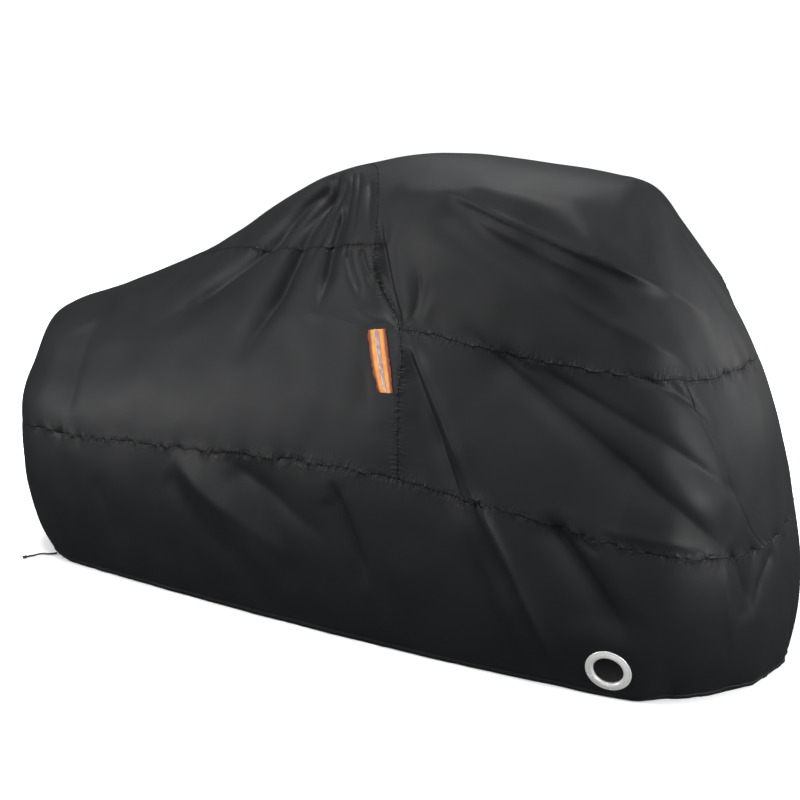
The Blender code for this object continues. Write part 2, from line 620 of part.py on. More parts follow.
def make_drawcord():
    """The free end of the hem's cord, and the knot that keeps it from slipping back."""
    points = curve_through(CORD_ROUTE, CORD_DIAMETER * 2)
    curve = bpy.data.curves.new("drawcord", "CURVE")
    curve.dimensions = "3D"
    curve.bevel_depth = CORD_DIAMETER / 2
    curve.bevel_resolution = 2
    curve.use_fill_caps = True
    spline = curve.splines.new("POLY")
    spline.points.add(len(points) - 1)
    for spot, point in zip(spline.points, points):
        spot.co = (*point, 1)
    cord = bpy.data.objects.new("drawcord", curve)
    bpy.context.collection.objects.link(cord)

    way = Vector(points[-1] - points[-2]).normalized()
    mesh = bmesh.new()
    bmesh.ops.create_icosphere(mesh, subdivisions=2, radius=0.5)
    for vert in mesh.verts:
        vert.co.x *= KNOT_DIAMETER
        vert.co.y *= KNOT_DIAMETER
        vert.co.z *= KNOT_LENGTH
    centre = Vector(points[-1]) + way * (KNOT_LENGTH / 2 + SEAM_GAP)
    centre.z = max(centre.z, KNOT_DIAMETER / 2)
    turn = way.to_track_quat("Z", "Y").to_matrix().to_4x4()
    bmesh.ops.transform(mesh, matrix=Matrix.Translation(centre) @ turn, verts=mesh.verts)
    return cord, new_object("drawcord_knot", mesh)


def finish(item, colour, roughness, metallic=0.0):
    material = bpy.data.materials.new(item.name)
    material.use_nodes = True
    shader = material.node_tree.nodes["Principled BSDF"]
    shader.inputs["Base Color"].default_value = (*colour, 1)
    shader.inputs["Roughness"].default_value = roughness
    shader.inputs["Metallic"].default_value = metallic
    material.diffuse_color = (*colour, 1)
    item.data.materials.clear()
    item.data.materials.append(material)


def main():
    for item in list(bpy.data.objects):
        bpy.data.objects.remove(item, do_unlink=True)
    frame = bpy.data.objects.new("cover_frame", None)
    frame.location = (-SUPPORT_X, 0, -SUPPORT_HEIGHT)
    bpy.context.collection.objects.link(frame)

    panels = make_panels()
    cutter = cut_lock_hole(panels["skirt_near"])
    eyelet = make_eyelet()
    tape, stripe = make_tape()
    cord, knot = make_drawcord()

    for panel in panels.values():
        finish(panel, BLACK_CLOTH, 0.55)
    finish(eyelet, STEEL, 0.25, metallic=1.0)
    finish(tape, ORANGE, 0.60)
    finish(stripe, SILVER_GREY, 0.35)
    finish(cord, BLACK_CORD, 0.80)
    finish(knot, BLACK_CORD, 0.80)
    for item in (*panels.values(), cutter, eyelet, tape, stripe, cord, knot):
        item.parent = frame


main()
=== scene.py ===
"""The finished look of a fitted bicycle cover: its sewn panels, eyelet, tape, cord and the studio round it.

Sizes are in metres.  x runs from the tail to the nose, y from the near side (minus) to the far side (plus),
and z is the height above the ground.  hung() takes a point from there into the model's own frame.
The cloth is one smooth skin, place(around, up), which the panels share: around is 0 at the middle of the
tail, 1 at the middle of the nose on the near side, and 2 back at the tail on the far side; up is 0 at the
hem, 1 at the skirt seam, 2 at the belt, 3 at the shoulder and 4 at the ridge.
"""

import math
from collections import namedtuple

import bpy
import numpy as np
from mathutils import Matrix, Vector


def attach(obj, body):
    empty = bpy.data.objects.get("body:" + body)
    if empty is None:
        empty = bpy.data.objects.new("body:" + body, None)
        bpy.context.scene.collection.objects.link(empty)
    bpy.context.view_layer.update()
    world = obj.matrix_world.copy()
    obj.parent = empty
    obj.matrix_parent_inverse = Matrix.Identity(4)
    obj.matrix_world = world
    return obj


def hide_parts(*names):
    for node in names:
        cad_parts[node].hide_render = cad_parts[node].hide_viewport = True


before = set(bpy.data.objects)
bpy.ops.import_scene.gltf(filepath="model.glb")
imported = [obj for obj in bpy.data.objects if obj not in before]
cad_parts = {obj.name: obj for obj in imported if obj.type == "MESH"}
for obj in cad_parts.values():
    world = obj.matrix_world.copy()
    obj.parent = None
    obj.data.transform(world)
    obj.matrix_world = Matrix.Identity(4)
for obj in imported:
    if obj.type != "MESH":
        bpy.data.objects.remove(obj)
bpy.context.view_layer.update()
bpy.ops.object.select_all(action="DESELECT")

SUPPORT = np.array([0.10, 0.0, 1.089])   # the model's origin: the underside of the roof, at its highest


def hung(points):
    """Points measured from the ground, as the model's own frame has them."""
    return np.asarray(points, float) - SUPPORT


# ---------------------------------------------------------------- camera

CAMERA_PLACE = (1.400, -2.355, 1.012)
CAMERA_TURN, CAMERA_DROP = math.radians(30.75), math.radians(10.96)
LENS_MM, SENSOR_MM = 49.5, 36.0

camera_data = bpy.data.cameras.new("camera")
camera_data.lens, camera_data.sensor_width = LENS_MM, SENSOR_MM
camera = bpy.data.objects.new("camera", camera_data)
camera.location = hung(CAMERA_PLACE)
camera.rotation_euler = (math.pi / 2 - CAMERA_DROP, 0, CAMERA_TURN)
bpy.context.collection.objects.link(camera)
bpy.context.scene.camera = camera

# ---------------------------------------------------------------- the drawcord's free end

# The free end of the hem's cord: out of the hem at the tail, down to the ground and along it.
CORD_ROUTE = ((-0.9364, -0.3107, 0.0033), (-0.9420, -0.3220, 0.0033), (-0.9480, -0.3330, 0.0045),
              (-0.9560, -0.3430, 0.0070), (-0.9660, -0.3500, 0.0060), (-0.9760, -0.3570, 0.0033),
              (-0.9820, -0.3660, 0.0030), (-0.9838, -0.3750, 0.0030))
CORD_DIAMETER = 0.0050
CORD_SPACING = 0.0040
KNOT_LENGTH, KNOT_DIAMETER = 0.016, 0.011
KNOT_GAP = 0.0003                     # between the cord's end and the knot
KNOT_STRAND = 0.0020                  # the radius of the cord where the knot has pulled it tight
KNOT_STEPS = 72
KNOT_HEAP, KNOT_REST = 1.05, 2.15     # how far its turns rise and fall, and how high it lies, in KNOT_STRAND
TREFOIL_REACH = 3                     # how far a trefoil goes from its middle before it is squeezed


def smooth(x, xs, ys):
    """A smooth curve through the points (xs, ys), read at x."""
    xs, ys = np.asarray(xs, float), np.asarray(ys, float)
    slopes = np.gradient(ys, xs)
    x = np.clip(x, xs[0], xs[-1])
    k = np.clip(np.searchsorted(xs, x) - 1, 0, len(xs) - 2)
    h = xs[k + 1] - xs[k]
    t = (x - xs[k]) / h
    return (ys[k] * (1 + 2 * t) * (1 - t) ** 2 + h * slopes[k] * t * (1 - t) ** 2
            + ys[k + 1] * t * t * (3 - 2 * t) + h * slopes[k + 1] * t * t * (t - 1))


def curve_through(route, spacing):
    """Points of one smooth curve through a route, about spacing apart, and its length."""
    route = np.array(route, float)
    along = np.concatenate([[0], np.cumsum(np.linalg.norm(np.diff(route, axis=0), axis=1))])
    steps = max(int(round(along[-1] / spacing)), 2)
    read = np.linspace(0, along[-1], steps + 1)
    points = np.stack([smooth(read, along, route[:, axis]) for axis in range(3)], axis=-1)
    return points, np.linalg.norm(np.diff(points, axis=0), axis=1).sum()


def tube(name, points, radius, closed=False):
    """A round tube along points, as a curve."""
    curve = bpy.data.curves.new(name, "CURVE")
    curve.dimensions = "3D"
    curve.bevel_depth = radius
    curve.bevel_resolution = 5
    curve.use_fill_caps = True
    spline = curve.splines.new("POLY")
    spline.points.add(len(points) - 1)
    for spot, point in zip(spline.points, points):
        spot.co = (*point, 1)
    spline.use_cyclic_u = closed
    piece = bpy.data.objects.new(name, curve)
    bpy.context.collection.objects.link(piece)
    return piece


def as_mesh(piece):
    """A curve turned into a smooth mesh."""
    bpy.ops.object.select_all(action="DESELECT")
    piece.select_set(True)
    bpy.context.view_layer.objects.active = piece
    bpy.ops.object.convert(target="MESH")
    bpy.ops.object.shade_smooth()
    piece.select_set(False)
    return piece


cord_points, cord_length = curve_through(CORD_ROUTE, CORD_SPACING)
cord = tube("drawcord_braid", hung(cord_points), CORD_DIAMETER / 2)

# An overhand knot: the cord's path round itself is a trefoil, squeezed to the knot's size.
turns = np.linspace(0, math.tau, KNOT_STEPS, endpoint=False)
trefoil = np.stack([np.sin(turns) + 2 * np.sin(2 * turns), np.cos(turns) - 2 * np.cos(2 * turns),
                    -np.sin(3 * turns)], axis=-1)
trefoil *= [(KNOT_DIAMETER / 2 - KNOT_STRAND) / TREFOIL_REACH,
            (KNOT_LENGTH / 2 - KNOT_STRAND) / TREFOIL_REACH, KNOT_STRAND * KNOT_HEAP]
knot_way = cord_points[-1] - cord_points[-2]
knot_way /= np.linalg.norm(knot_way)
knot_middle = cord_points[-1] + knot_way * (KNOT_LENGTH / 2 + KNOT_GAP)
knot_middle[2] = KNOT_STRAND * KNOT_REST
knot_side = np.cross(knot_way, [0, 0, 1.0])
knot_side /= np.linalg.norm(knot_side)
knot_points = knot_middle + trefoil @ np.stack([knot_side, knot_way, np.cross(knot_side, knot_way)])
knot = as_mesh(tube("drawcord_overhand_knot", hung(knot_points), KNOT_STRAND, closed=True))

# ---------------------------------------------------------------- sizes, in metres

CLOTH = 0.0020            # coated cloth, with its seam allowance and its folds pressed in

EYELET_X, EYELET_Z = 0.709, 0.066     # the middle of the lock hole, on the near side
EYELET_OUTER_R = 0.047
EYELET_INNER_R = 0.031
CLOTH_HOLE_R = 0.0365
EYELET_FRONT, EYELET_BACK = 0.0040, 0.0018   # how thick its front flange and its back one are
TAPE_X, TAPE_Z = 0.143, 0.636         # the middle of the reflective tape, on the near side
TAPE_WIDTH, TAPE_LENGTH, TAPE_THICK = 0.047, 0.152, 0.0010
STRIPE_WIDTH, STRIPE_THICK = 0.0105, 0.0005
TAPE_LEAN = math.radians(21)          # its foot is nearer the nose than its head
EYELET_FLAT = 0.7                     # half the side of the flat place under the ring, in the ring's radius
FLAT_MARGIN = 0.012                   # the cloth lies flat this far round the eyelet and the tape,
FLAT_FADE = 0.075                     # and bends away from the flat over this
FLAT_REACH = FLAT_FADE * 2            # cloth farther than this off the flat place's plane isn't moved
HEM_TIE = 0.013                       # below this height the hem's own line keeps the cloth from lying flat
LEVEL_BELOW = 0.05                    # below this height folds and creases push the cloth less up or down

# ---------------------------------------------------------------- the skin's tables

HEM, SKIRT, BELT, SHOULDER, RIDGE = range(5)

# Where each level line starts and ends, and how long its rounded ends are.
End = namedtuple("End", "level tail tail_round nose nose_round nose_square")
ENDS = (
    End("hem",      -1.130, 0.32, 0.968, 0.30, 2.1),
    End("skirt",    -1.206, 0.31, 0.949, 0.19, 2.6),
    End("belt",     -1.192, 0.29, 0.853, 0.18, 2.6),
    End("shoulder", -1.150, 0.23, 0.662, 0.13, 2.2),
    End("ridge",    -1.080, 0.20, 0.600, 0.08, 2.0),
)

# Half widths and heights of the level lines, a row for each cross section.
Section = namedtuple("Section", "x hem skirt skirt_z belt belt_z shoulder shoulder_z ridge_z")
SECTIONS = (
    Section(-1.20, 0.300, 0.335, 0.368, 0.275, 0.520, 0.200, 0.628, 0.665),
    Section(-0.90, 0.333, 0.362, 0.372, 0.265, 0.560, 0.140, 0.700, 0.742),
    Section(-0.55, 0.358, 0.376, 0.379, 0.265, 0.620, 0.105, 0.815, 0.865),
    Section(-0.20, 0.376, 0.392, 0.395, 0.275, 0.690, 0.115, 0.975, 1.038),
    Section(+0.10, 0.382, 0.397, 0.404, 0.290, 0.712, 0.180, 1.000, 1.090),
    Section(+0.40, 0.378, 0.397, 0.374, 0.310, 0.680, 0.225, 0.992, 1.064),
    Section(+0.70, 0.358, 0.386, 0.332, 0.310, 0.648, 0.225, 0.955, 1.002),
    Section(+1.00, 0.320, 0.343, 0.288, 0.290, 0.640, 0.200, 0.905, 0.905),
)

# The rounding of the ends in plan is a superellipse: 2 is an ellipse, more is squarer.
TAIL_SQUARE = 2.0
ARC_SHARE = 0.17          # the share of the way round that each rounded end takes

# The elastic draws the hem in, so the skirt bellies out just above it.
BELLY = 0.018
BELLY_LOW = 0.8                          # under 1, the belly is fullest below the middle
HEM_TUCK = np.array([2.0, 2.0, 0.6])     # how the skin leaves the hem; 1 is straight on to the skirt seam

# The seam that runs across the cover, from the skirt over the ridge, as its x at each height on the skin.
CROSS_SEAM = ((1.0, 0.230), (1.5, 0.205), (2.0, 0.170), (2.35, 0.080), (2.65, 0.063), (3.0, 0.040),
              (3.5, -0.022), (4.0, -0.140))
# The seam at each front corner, between the skirt and the belt.
CORNER_SEAM = ((1.0, 0.942), (1.5, 0.880), (2.0, 0.795))
# The lower edge of the saddle panel, as the place up the skin at each share of the way from the tail's
# middle to the cross seam.  The panel starts at SADDLE_START; before it the line is only a row of the grid.
SADDLE_SEAM = ((0.00, 2.90), (0.40, 3.10), (0.545, 3.30), (0.64, 2.93), (0.75, 2.65), (0.87, 2.55),
               (1.00, 2.55))

# ---------------------------------------------------------------- the folds' table

# A fold runs on the skin from (x, z) to (x, z).  Round the nose and the tail x goes on growing or falling
# as the skin turns in to the middle, by END_RUN at the middle itself.  Over the roof z goes on growing, by
# ROOF_RUN at the ridge.  bow moves the middle of the fold to its left, seen along it, and width is its half
# width at its start, spread times that at its end.  rise is how far it stands out (plus) or sinks in
# (minus), and crest is the share of that by which the cloth on its left goes the other way.
END_RUN = 0.33
ROOF_RUN = 0.12
Fold = namedtuple("Fold", "name sides x0 z0 x1 z1 bow width spread rise crest")
FOLDS = (
    # the tail half, fanned out from the top of the cross seam
    Fold("fan_long",        "both", -0.11, 1.05, -0.60, 0.66, +0.012, 0.028, 1.3, -0.003, 0.35),
    Fold("fan_steep",       "near", -0.12, 1.03, -0.27, 0.57, -0.010, 0.024, 1.5, -0.003, 0.40),
    Fold("fan_upright",     "both", -0.06, 1.03, -0.07, 0.75, +0.004, 0.024, 1.2, -0.003, 0.35),
    Fold("fan_last",        "near", -0.01, 0.89, +0.05, 0.79, +0.000, 0.022, 1.0, -0.002, 0.30),
    Fold("fan_short",       "far",  -0.02, 0.98, -0.20, 0.66, +0.006, 0.026, 1.3, -0.009, 0.30),
    Fold("saddle_tuck",     "both", +0.01, 1.02, +0.04, 0.90, +0.000, 0.022, 1.0, -0.002, 0.20),
    Fold("pinch_tail_side", "both", +0.09, 0.90, +0.17, 0.71, -0.006, 0.024, 1.0, -0.006, 0.30),
    # the hood
    Fold("hood_crease",     "both", +0.27, 1.00, +0.77, 0.78, +0.012, 0.026, 1.0, -0.007, 0.50),
    Fold("hood_hollow",     "both", +0.22, 1.00, +0.72, 0.72, -0.006, 0.040, 1.1, -0.008, 0.25),
    Fold("hood_swell",      "both", +0.12, 0.96, +0.64, 0.70, -0.014, 0.052, 1.1, +0.006, 0.00),
    Fold("pinch_upright",   "both", +0.20, 0.85, +0.19, 0.72, +0.000, 0.022, 1.0, -0.001, 0.20),
    Fold("belt_hollow",     "near", +0.23, 0.75, +0.48, 0.65, +0.004, 0.028, 1.0, -0.002, 0.20),
    Fold("hood_shoulder",   "both", +0.07, 1.01, +0.64, 0.98, +0.000, 0.036, 1.0, +0.006, 0.00),
    # the side under the hood
    Fold("spine",           "both", +0.19, 0.70, +0.57, 0.03, +0.012, 0.023, 1.2, +0.008, 0.00),
    Fold("seam_hollow",     "both", +0.20, 0.69, +0.31, 0.37, -0.004, 0.024, 2.4, -0.002, 0.00),
    Fold("side_crease",     "both", +0.42, 0.69, +0.86, 0.37, +0.000, 0.030, 1.3, -0.004, 0.40),
    Fold("side_upper",      "near", +0.52, 0.67, +0.90, 0.43, +0.030, 0.026, 1.2, -0.002, 0.30),
    Fold("front_swell",     "both", +0.70, 0.42, +1.02, 0.40, +0.000, 0.050, 1.0, +0.006, 0.00),
    # the skirt
    Fold("skirt_crease",    "both", +0.55, 0.37, +0.78, 0.02, +0.034, 0.028, 1.4, -0.007, 0.30),
    Fold("tail_ridge",      "both", -0.42, 0.38, -0.08, 0.10, +0.010, 0.036, 1.2, +0.005, 0.00),
    Fold("tail_ridge_foot", "near", -0.44, 0.33, -0.20, 0.13, -0.008, 0.030, 1.2, -0.004, 0.00),
    Fold("tail_hollow",     "near", -0.22, 0.38, -0.03, 0.08, +0.022, 0.042, 1.1, -0.006, 0.25),
    Fold("mid_crease",      "near", +0.05, 0.34, +0.15, 0.12, +0.006, 0.026, 1.1, -0.004, 0.30),
    Fold("corner_left",     "near", +0.99, 0.31, +1.04, 0.16, +0.000, 0.022, 1.0, -0.004, 0.20),
    Fold("corner_right",    "near", +1.09, 0.31, +1.05, 0.16, +0.000, 0.022, 1.0, -0.004, 0.20),
    Fold("corner_far",      "far",  +1.02, 0.31, +1.00, 0.12, +0.000, 0.028, 1.0, -0.006, 0.20),
    Fold("tail_soft",       "near", -0.90, 0.64, -0.80, 0.42, +0.000, 0.036, 1.0, -0.003, 0.00),
    Fold("tail_soft_far",   "far",  -0.84, 0.62, -0.90, 0.40, +0.000, 0.036, 1.0, -0.005, 0.00),
)
FOLD_START, FOLD_END = 0.12, 0.22     # the share of its length over which a fold grows and dies away
CREST_AT = 1.7                        # a fold's crest lies this many of its widths to its left

STEP = 0.0005                         # for slopes of the skin, in its own terms
RIDGE_SIDE = 3.97                     # the skin's slope at the ridge is read just beside it
HALVINGS, LOCATE_ROUNDS = 40, 8       # for finding a place on the skin


def column(rows, name):
    """One column of a table."""
    return np.array([getattr(row, name) for row in rows])


def level_line(level, along):
    """A level line's x and how far open the cover is there (0 at its ends, 1 along its side)."""
    end = ENDS[level]
    tail_power, nose_power = 2 / TAIL_SQUARE, 2 / end.nose_square
    tail_turn = np.clip(along / ARC_SHARE, 0, 1) * math.pi / 2
    nose_turn = np.clip((1 - along) / ARC_SHARE, 0, 1) * math.pi / 2
    side = np.clip((along - ARC_SHARE) / (1 - 2 * ARC_SHARE), 0, 1)
    from_x, to_x = end.tail + end.tail_round, end.nose - end.nose_round
    x = (from_x + (to_x - from_x) * side
         - end.tail_round * np.cos(tail_turn) ** tail_power
         + end.nose_round * np.cos(nose_turn) ** nose_power)
    return x, np.sin(tail_turn) ** tail_power * np.sin(nose_turn) ** nose_power


def level_points(around):
    """The points of the five level lines at a place round the cover, one array for each level."""
    turn = np.mod(around, 2)
    far = turn > 1
    along = np.where(far, 2 - turn, turn)
    sign = np.where(far, 1.0, -1.0)
    points = []
    section_x = column(SECTIONS, "x")
    for level, end in enumerate(ENDS):
        x, opening = level_line(level, along)
        width = 0 * x if level == RIDGE else smooth(x, section_x, column(SECTIONS, end.level))
        height = 0 * x if level == HEM else smooth(x, section_x, column(SECTIONS, end.level + "_z"))
        points.append(np.stack([x, sign * width * opening, height], axis=-1))
    return points


def outward(around):
    """The level direction that faces out of the hem."""
    ahead, behind = level_points(around + STEP)[HEM], level_points(around - STEP)[HEM]
    way = ahead - behind
    out = np.stack([way[..., 1], -way[..., 0], 0 * way[..., 0]], axis=-1)
    return out / np.linalg.norm(out, axis=-1, keepdims=True)


def base(around, up):
    """The skin before its folds: a smooth curve through the level lines, round over the ridge."""
    around, up = np.broadcast_arrays(np.asarray(around, float), np.asarray(up, float))
    lines = level_points(around)
    mirrored = lines[SHOULDER] * [1, -1, 1]
    below = lines[HEM] - (lines[SKIRT] - lines[HEM]) * HEM_TUCK
    chain = np.stack([below, *lines, mirrored])
    k = np.clip(np.floor(up).astype(int), 0, RIDGE - 1)
    t = (up - k)[..., None]
    p0, p1, p2, p3 = (np.take_along_axis(chain, (k + i)[None, ..., None], axis=0)[0] for i in range(4))
    point = 0.5 * (2 * p1 + (p2 - p0) * t + (2 * p0 - 5 * p1 + 4 * p2 - p3) * t ** 2
                   + (3 * p1 - p0 - 3 * p2 + p3) * t ** 3)
    belly = BELLY * np.sin(math.pi * np.clip(up, 0, 1) ** BELLY_LOW)
    return point + belly[..., None] * outward(around)


def normals(surface, around, up):
    """The unit normals of a surface(around, up), pointing out."""
    up = np.minimum(up, RIDGE_SIDE)
    low, high = np.maximum(up - STEP, 0), up + STEP
    along = surface(around + STEP, up) - surface(around - STEP, up)
    rising = surface(around, high) - surface(around, low)
    normal = np.cross(along, rising)
    return normal / np.maximum(np.linalg.norm(normal, axis=-1, keepdims=True), 1e-9)


def unrolled(around, point, up):
    """The place of a point on the unrolled skin, in the terms of the folds' table."""
    turn = np.mod(around, 2)
    along = np.where(turn > 1, 2 - turn, turn)
    opening = level_line(SKIRT, along)[1]
    run = point[..., 0] + END_RUN * (1 - opening) * np.where(along > 0.5, 1, -1)
    return run, point[..., 2] + ROOF_RUN * np.clip(up - SHOULDER, 0, 1)


def ease(x):
    """A smooth step from 0 to 1."""
    x = np.clip(x, 0, 1)
    return x * x * (3 - 2 * x)


def beside(line, run, height):
    """Where points of the unrolled skin are beside a fold or a crease: their share of the way along it, how
    far they are to its left, in its widths there, and its length."""
    start = np.array([line.x0, line.z0])
    way = np.array([line.x1, line.z1]) - start
    length = np.hypot(*way)
    way = way / length
    share = ((run - start[0]) * way[0] + (height - start[1]) * way[1]) / length
    aside = (height - start[1]) * way[0] - (run - start[0]) * way[1]
    aside = aside - line.bow * 4 * share * (1 - share)
    width = line.width * (1 + (line.spread - 1) * np.clip(share, 0, 1))
    return share, aside / width, length


def only_on(line, far, depth):
    """The depth of a fold or a crease on the sides that it is on, and 0 on the others."""
    return np.where({"near": ~far, "far": far, "both": True}[line.sides], depth, 0)


def fold_depth(around, point, up):
    """How far all the folds together move a point of the skin outwards."""
    run, height = unrolled(around, point, up)
    far = np.mod(around, 2) > 1
    total = np.zeros_like(run)
    for fold in FOLDS:
        share, aside, _ = beside(fold, run, height)
        shape = np.exp(-aside ** 2) - fold.crest * np.exp(-(aside - CREST_AT) ** 2)
        fade = ease(share / FOLD_START) * ease((1 - share) / FOLD_END)
        total += only_on(fold, far, fold.rise * shape * fade)
    return total


def folded(around, up):
    """The skin with its folds."""
    around, up = np.broadcast_arrays(np.asarray(around, float), np.asarray(up, float))
    point = base(around, up)
    out = normals(base, around, up)
    out = out * np.stack([np.ones_like(up), np.where(up >= RIDGE, 0, 1), ease(point[..., 2] / LEVEL_BELOW)],
                         axis=-1)
    return point + out * fold_depth(around, point, up)[..., None]


def bisect(wrong_way, low, high):
    """The place between low and high where wrong_way(place) turns from true to false."""
    for _ in range(HALVINGS):
        middle = (low + high) / 2
        go_on = wrong_way(middle)
        low, high = np.where(go_on, middle, low), np.where(go_on, high, middle)
    return (low + high) / 2


def around_at(x, up):
    """The place round the near side where the skin is at x, at each height up it."""
    up = np.asarray(up, float)
    return bisect(lambda a: base(a, up)[..., 0] < x, np.zeros_like(up), np.ones_like(up))


def locate(x, z):
    """The place on the near side of the skin at x and z."""
    up = np.array(1.0)
    for _ in range(LOCATE_ROUNDS):
        around = around_at(x, up)
        up = bisect(lambda u: base(around, u)[..., 2] < z, np.array(float(HEM)), np.array(float(SHOULDER)))
    return around, up


class Patch:
    """A flat place in the skin: its middle, its normal, the way up it and how long and wide it is."""

    def __init__(self, x, z, lean, half_length, half_width):
        around, up = locate(x, z)
        self.middle = folded(around, up)
        self.out = normals(base, around, up)
        upright = np.array([-math.sin(lean), 0, math.cos(lean)])
        self.up = upright - self.out * (upright @ self.out)
        self.up /= np.linalg.norm(self.up)
        self.right = np.cross(self.up, self.out)
        self.half_length, self.half_width = half_length, half_width

    def measure(self, point):
        """How far points are out of the patch's plane, and how far beyond its edges."""
        offset = point - self.middle
        aside = np.maximum(np.abs(offset @ self.right) - self.half_width, 0)
        above = np.maximum(np.abs(offset @ self.up) - self.half_length, 0)
        return offset @ self.out, np.hypot(aside, above)

    def flatten(self, point, near):
        """The points of the near side, laid into the patch's plane as far as the patch reaches."""
        lifted, beyond = self.measure(point)
        weight = 1 - ease((beyond - FLAT_MARGIN) / FLAT_FADE)
        weight = weight * ease((point[..., 2] + HEM_TIE) / (HEM_TIE * 2))
        weight = np.where(near & (np.abs(lifted) < FLAT_REACH), weight, 0)
        return point - (weight * lifted)[..., None] * self.out

    def matrix(self, lift):
        """The patch's own frame, with z out of the cloth, lifted off its middle."""
        columns = np.stack([self.right, self.up, self.out, self.middle + self.out * lift], axis=-1)
        return Matrix([*columns.tolist(), [0, 0, 0, 1]])


EYELET_PATCH = Patch(EYELET_X, EYELET_Z, 0, EYELET_OUTER_R * EYELET_FLAT, EYELET_OUTER_R * EYELET_FLAT)
TAPE_PATCH = Patch(TAPE_X, TAPE_Z, TAPE_LEAN, TAPE_LENGTH / 2, TAPE_WIDTH / 2)


def place(around, up):
    """The skin as it is built: folded, and flat under the eyelet and the tape."""
    point = folded(around, up)
    near = np.mod(around, 2) < 1
    for patch in (EYELET_PATCH, TAPE_PATCH):
        point = patch.flatten(point, near)
    return point


def seam_around(seam, up):
    """Where a seam, given as x at each height, is on the near side."""
    ups, xs = zip(*seam)
    up = np.clip(up, ups[0], ups[-1])
    return around_at(smooth(up, ups, xs), up)


# ---------------------------------------------------------------- the cloth's grid

CLOSE = (0.0014, 0.0032, 0.0054, 0.0082)      # beside a seam the grid's lines lie this far from it
HEM_HEIGHTS = (0.0, 0.0012, 0.0028, 0.0048, 0.0068, 0.0088, 0.0104, 0.0118, 0.0130, 0.0142, 0.0158, 0.0180,
               0.0210)
HEM_RISE = 0.30                               # the skin's height near the hem for each step of up
SADDLE_START = 0.545                          # where the saddle panel starts, as a share of the tail half

Stretch = namedtuple("Stretch", "length step seams")
TAIL_STRETCH = Stretch(0.88, 0.0046, "end")
SADDLE_STRETCH = Stretch(0.76, 0.0044, "both")
SIDE_STRETCH = Stretch(0.74, 0.0042, "both")
NOSE_STRETCH = Stretch(0.34, 0.0046, "start")
SKIRT_RISE = Stretch(0.38, 0.0062, "end")
SIDE_RISE = Stretch(0.31, 0.0060, "both")
WAIST_RISE = Stretch(0.17, 0.0056, "both")
ROOF_RISE = Stretch(0.42, 0.0068, "start")
FAR_ROWS = 2                                  # the far side has every second row


def shares(stretch):
    """The places of the grid's lines along a stretch, from 0 to 1, close beside its seams."""
    head = (0.0, *CLOSE) if stretch.seams in ("start", "both") else (0.0,)
    foot = (0.0, *CLOSE) if stretch.seams in ("end", "both") else (0.0,)
    first, last = head[-1], stretch.length - foot[-1]
    steps = 2 * round((last - first) / stretch.step / 2)
    lines = [*head[:-1], *np.linspace(first, last, steps + 1), *(stretch.length - x for x in foot[-2::-1])]
    return np.array(lines) / stretch.length


def between(start, end, stretch):
    """The places of the grid's lines from start to end."""
    return start + (end - start) * shares(stretch)


HEM_UPS = np.array(HEM_HEIGHTS) / HEM_RISE
SKIRT_UPS = np.concatenate([HEM_UPS, between(HEM_UPS[-1], SKIRT, SKIRT_RISE)[1:]])
SIDE_UPS = between(SKIRT, BELT, SIDE_RISE)[1:]
WAIST = SADDLE_SEAM[-1][1]
WAIST_UPS = between(BELT, WAIST, WAIST_RISE)[1:]
ROOF_UPS = between(WAIST, RIDGE, ROOF_RISE)[1:]
ROW_UPS = np.concatenate([SKIRT_UPS, SIDE_UPS, WAIST_UPS, ROOF_UPS])
SKIRT_ROW = len(SKIRT_UPS) - 1
BELT_ROW = SKIRT_ROW + len(SIDE_UPS)
SADDLE_ROW = BELT_ROW + len(WAIST_UPS)
RIDGE_ROW = SADDLE_ROW + len(ROOF_UPS)
HEM_STITCH_ROW = HEM_HEIGHTS.index(0.0142)

TAIL_SHARES = np.concatenate([between(0, SADDLE_START, TAIL_STRETCH),
                              between(SADDLE_START, 1, SADDLE_STRETCH)[1:]])
SIDE_SHARES, NOSE_SHARES = shares(SIDE_STRETCH), shares(NOSE_STRETCH)
SADDLE_COLUMN = len(shares(TAIL_STRETCH)) - 1
CROSS_COLUMN = len(TAIL_SHARES) - 1
CORNER_COLUMN = CROSS_COLUMN + len(SIDE_SHARES) - 1
HALF = CORNER_COLUMN + len(NOSE_SHARES) - 1       # from the tail's middle to the nose's
ROUND = 2 * HALF


def near_grid():
    """The places (around, up) of the near half's grid, one row for each column of the grid."""
    seam_up = smooth(TAIL_SHARES[:-1], *zip(*SADDLE_SEAM))[:, None]
    below = SKIRT + (ROW_UPS - SKIRT) * (seam_up - SKIRT) / (WAIST - SKIRT)
    above = seam_up + (ROW_UPS - WAIST) * (RIDGE - seam_up) / (RIDGE - WAIST)
    tail_up = np.where(ROW_UPS <= SKIRT, ROW_UPS, np.where(ROW_UPS <= WAIST, below, above))
    tail = TAIL_SHARES[:-1, None] * seam_around(CROSS_SEAM, tail_up)
    cross, corner = seam_around(CROSS_SEAM, ROW_UPS), seam_around(CORNER_SEAM, ROW_UPS)
    side = cross + (corner - cross) * SIDE_SHARES[:-1, None]
    nose = corner + (1 - corner) * NOSE_SHARES[:, None]
    front_up = np.broadcast_to(ROW_UPS, (len(side) + len(nose), len(ROW_UPS)))
    return np.concatenate([tail, side, nose]), np.concatenate([tail_up, front_up])


def whole_grid():
    """Where each point of the whole grid is on the skin.  Its columns run round from the tail's middle."""
    around, up = near_grid()
    return np.concatenate([around, 2 - around[-2:0:-1]]), np.concatenate([up, up[-2:0:-1]])


def arcs(points, axis):
    """How far each grid point is along its row or column, in metres."""
    steps = np.linalg.norm(np.diff(points, axis=axis), axis=-1)
    start = np.zeros_like(np.take(steps, [0], axis=axis))
    return np.cumsum(np.concatenate([start, steps], axis=axis), axis=axis)


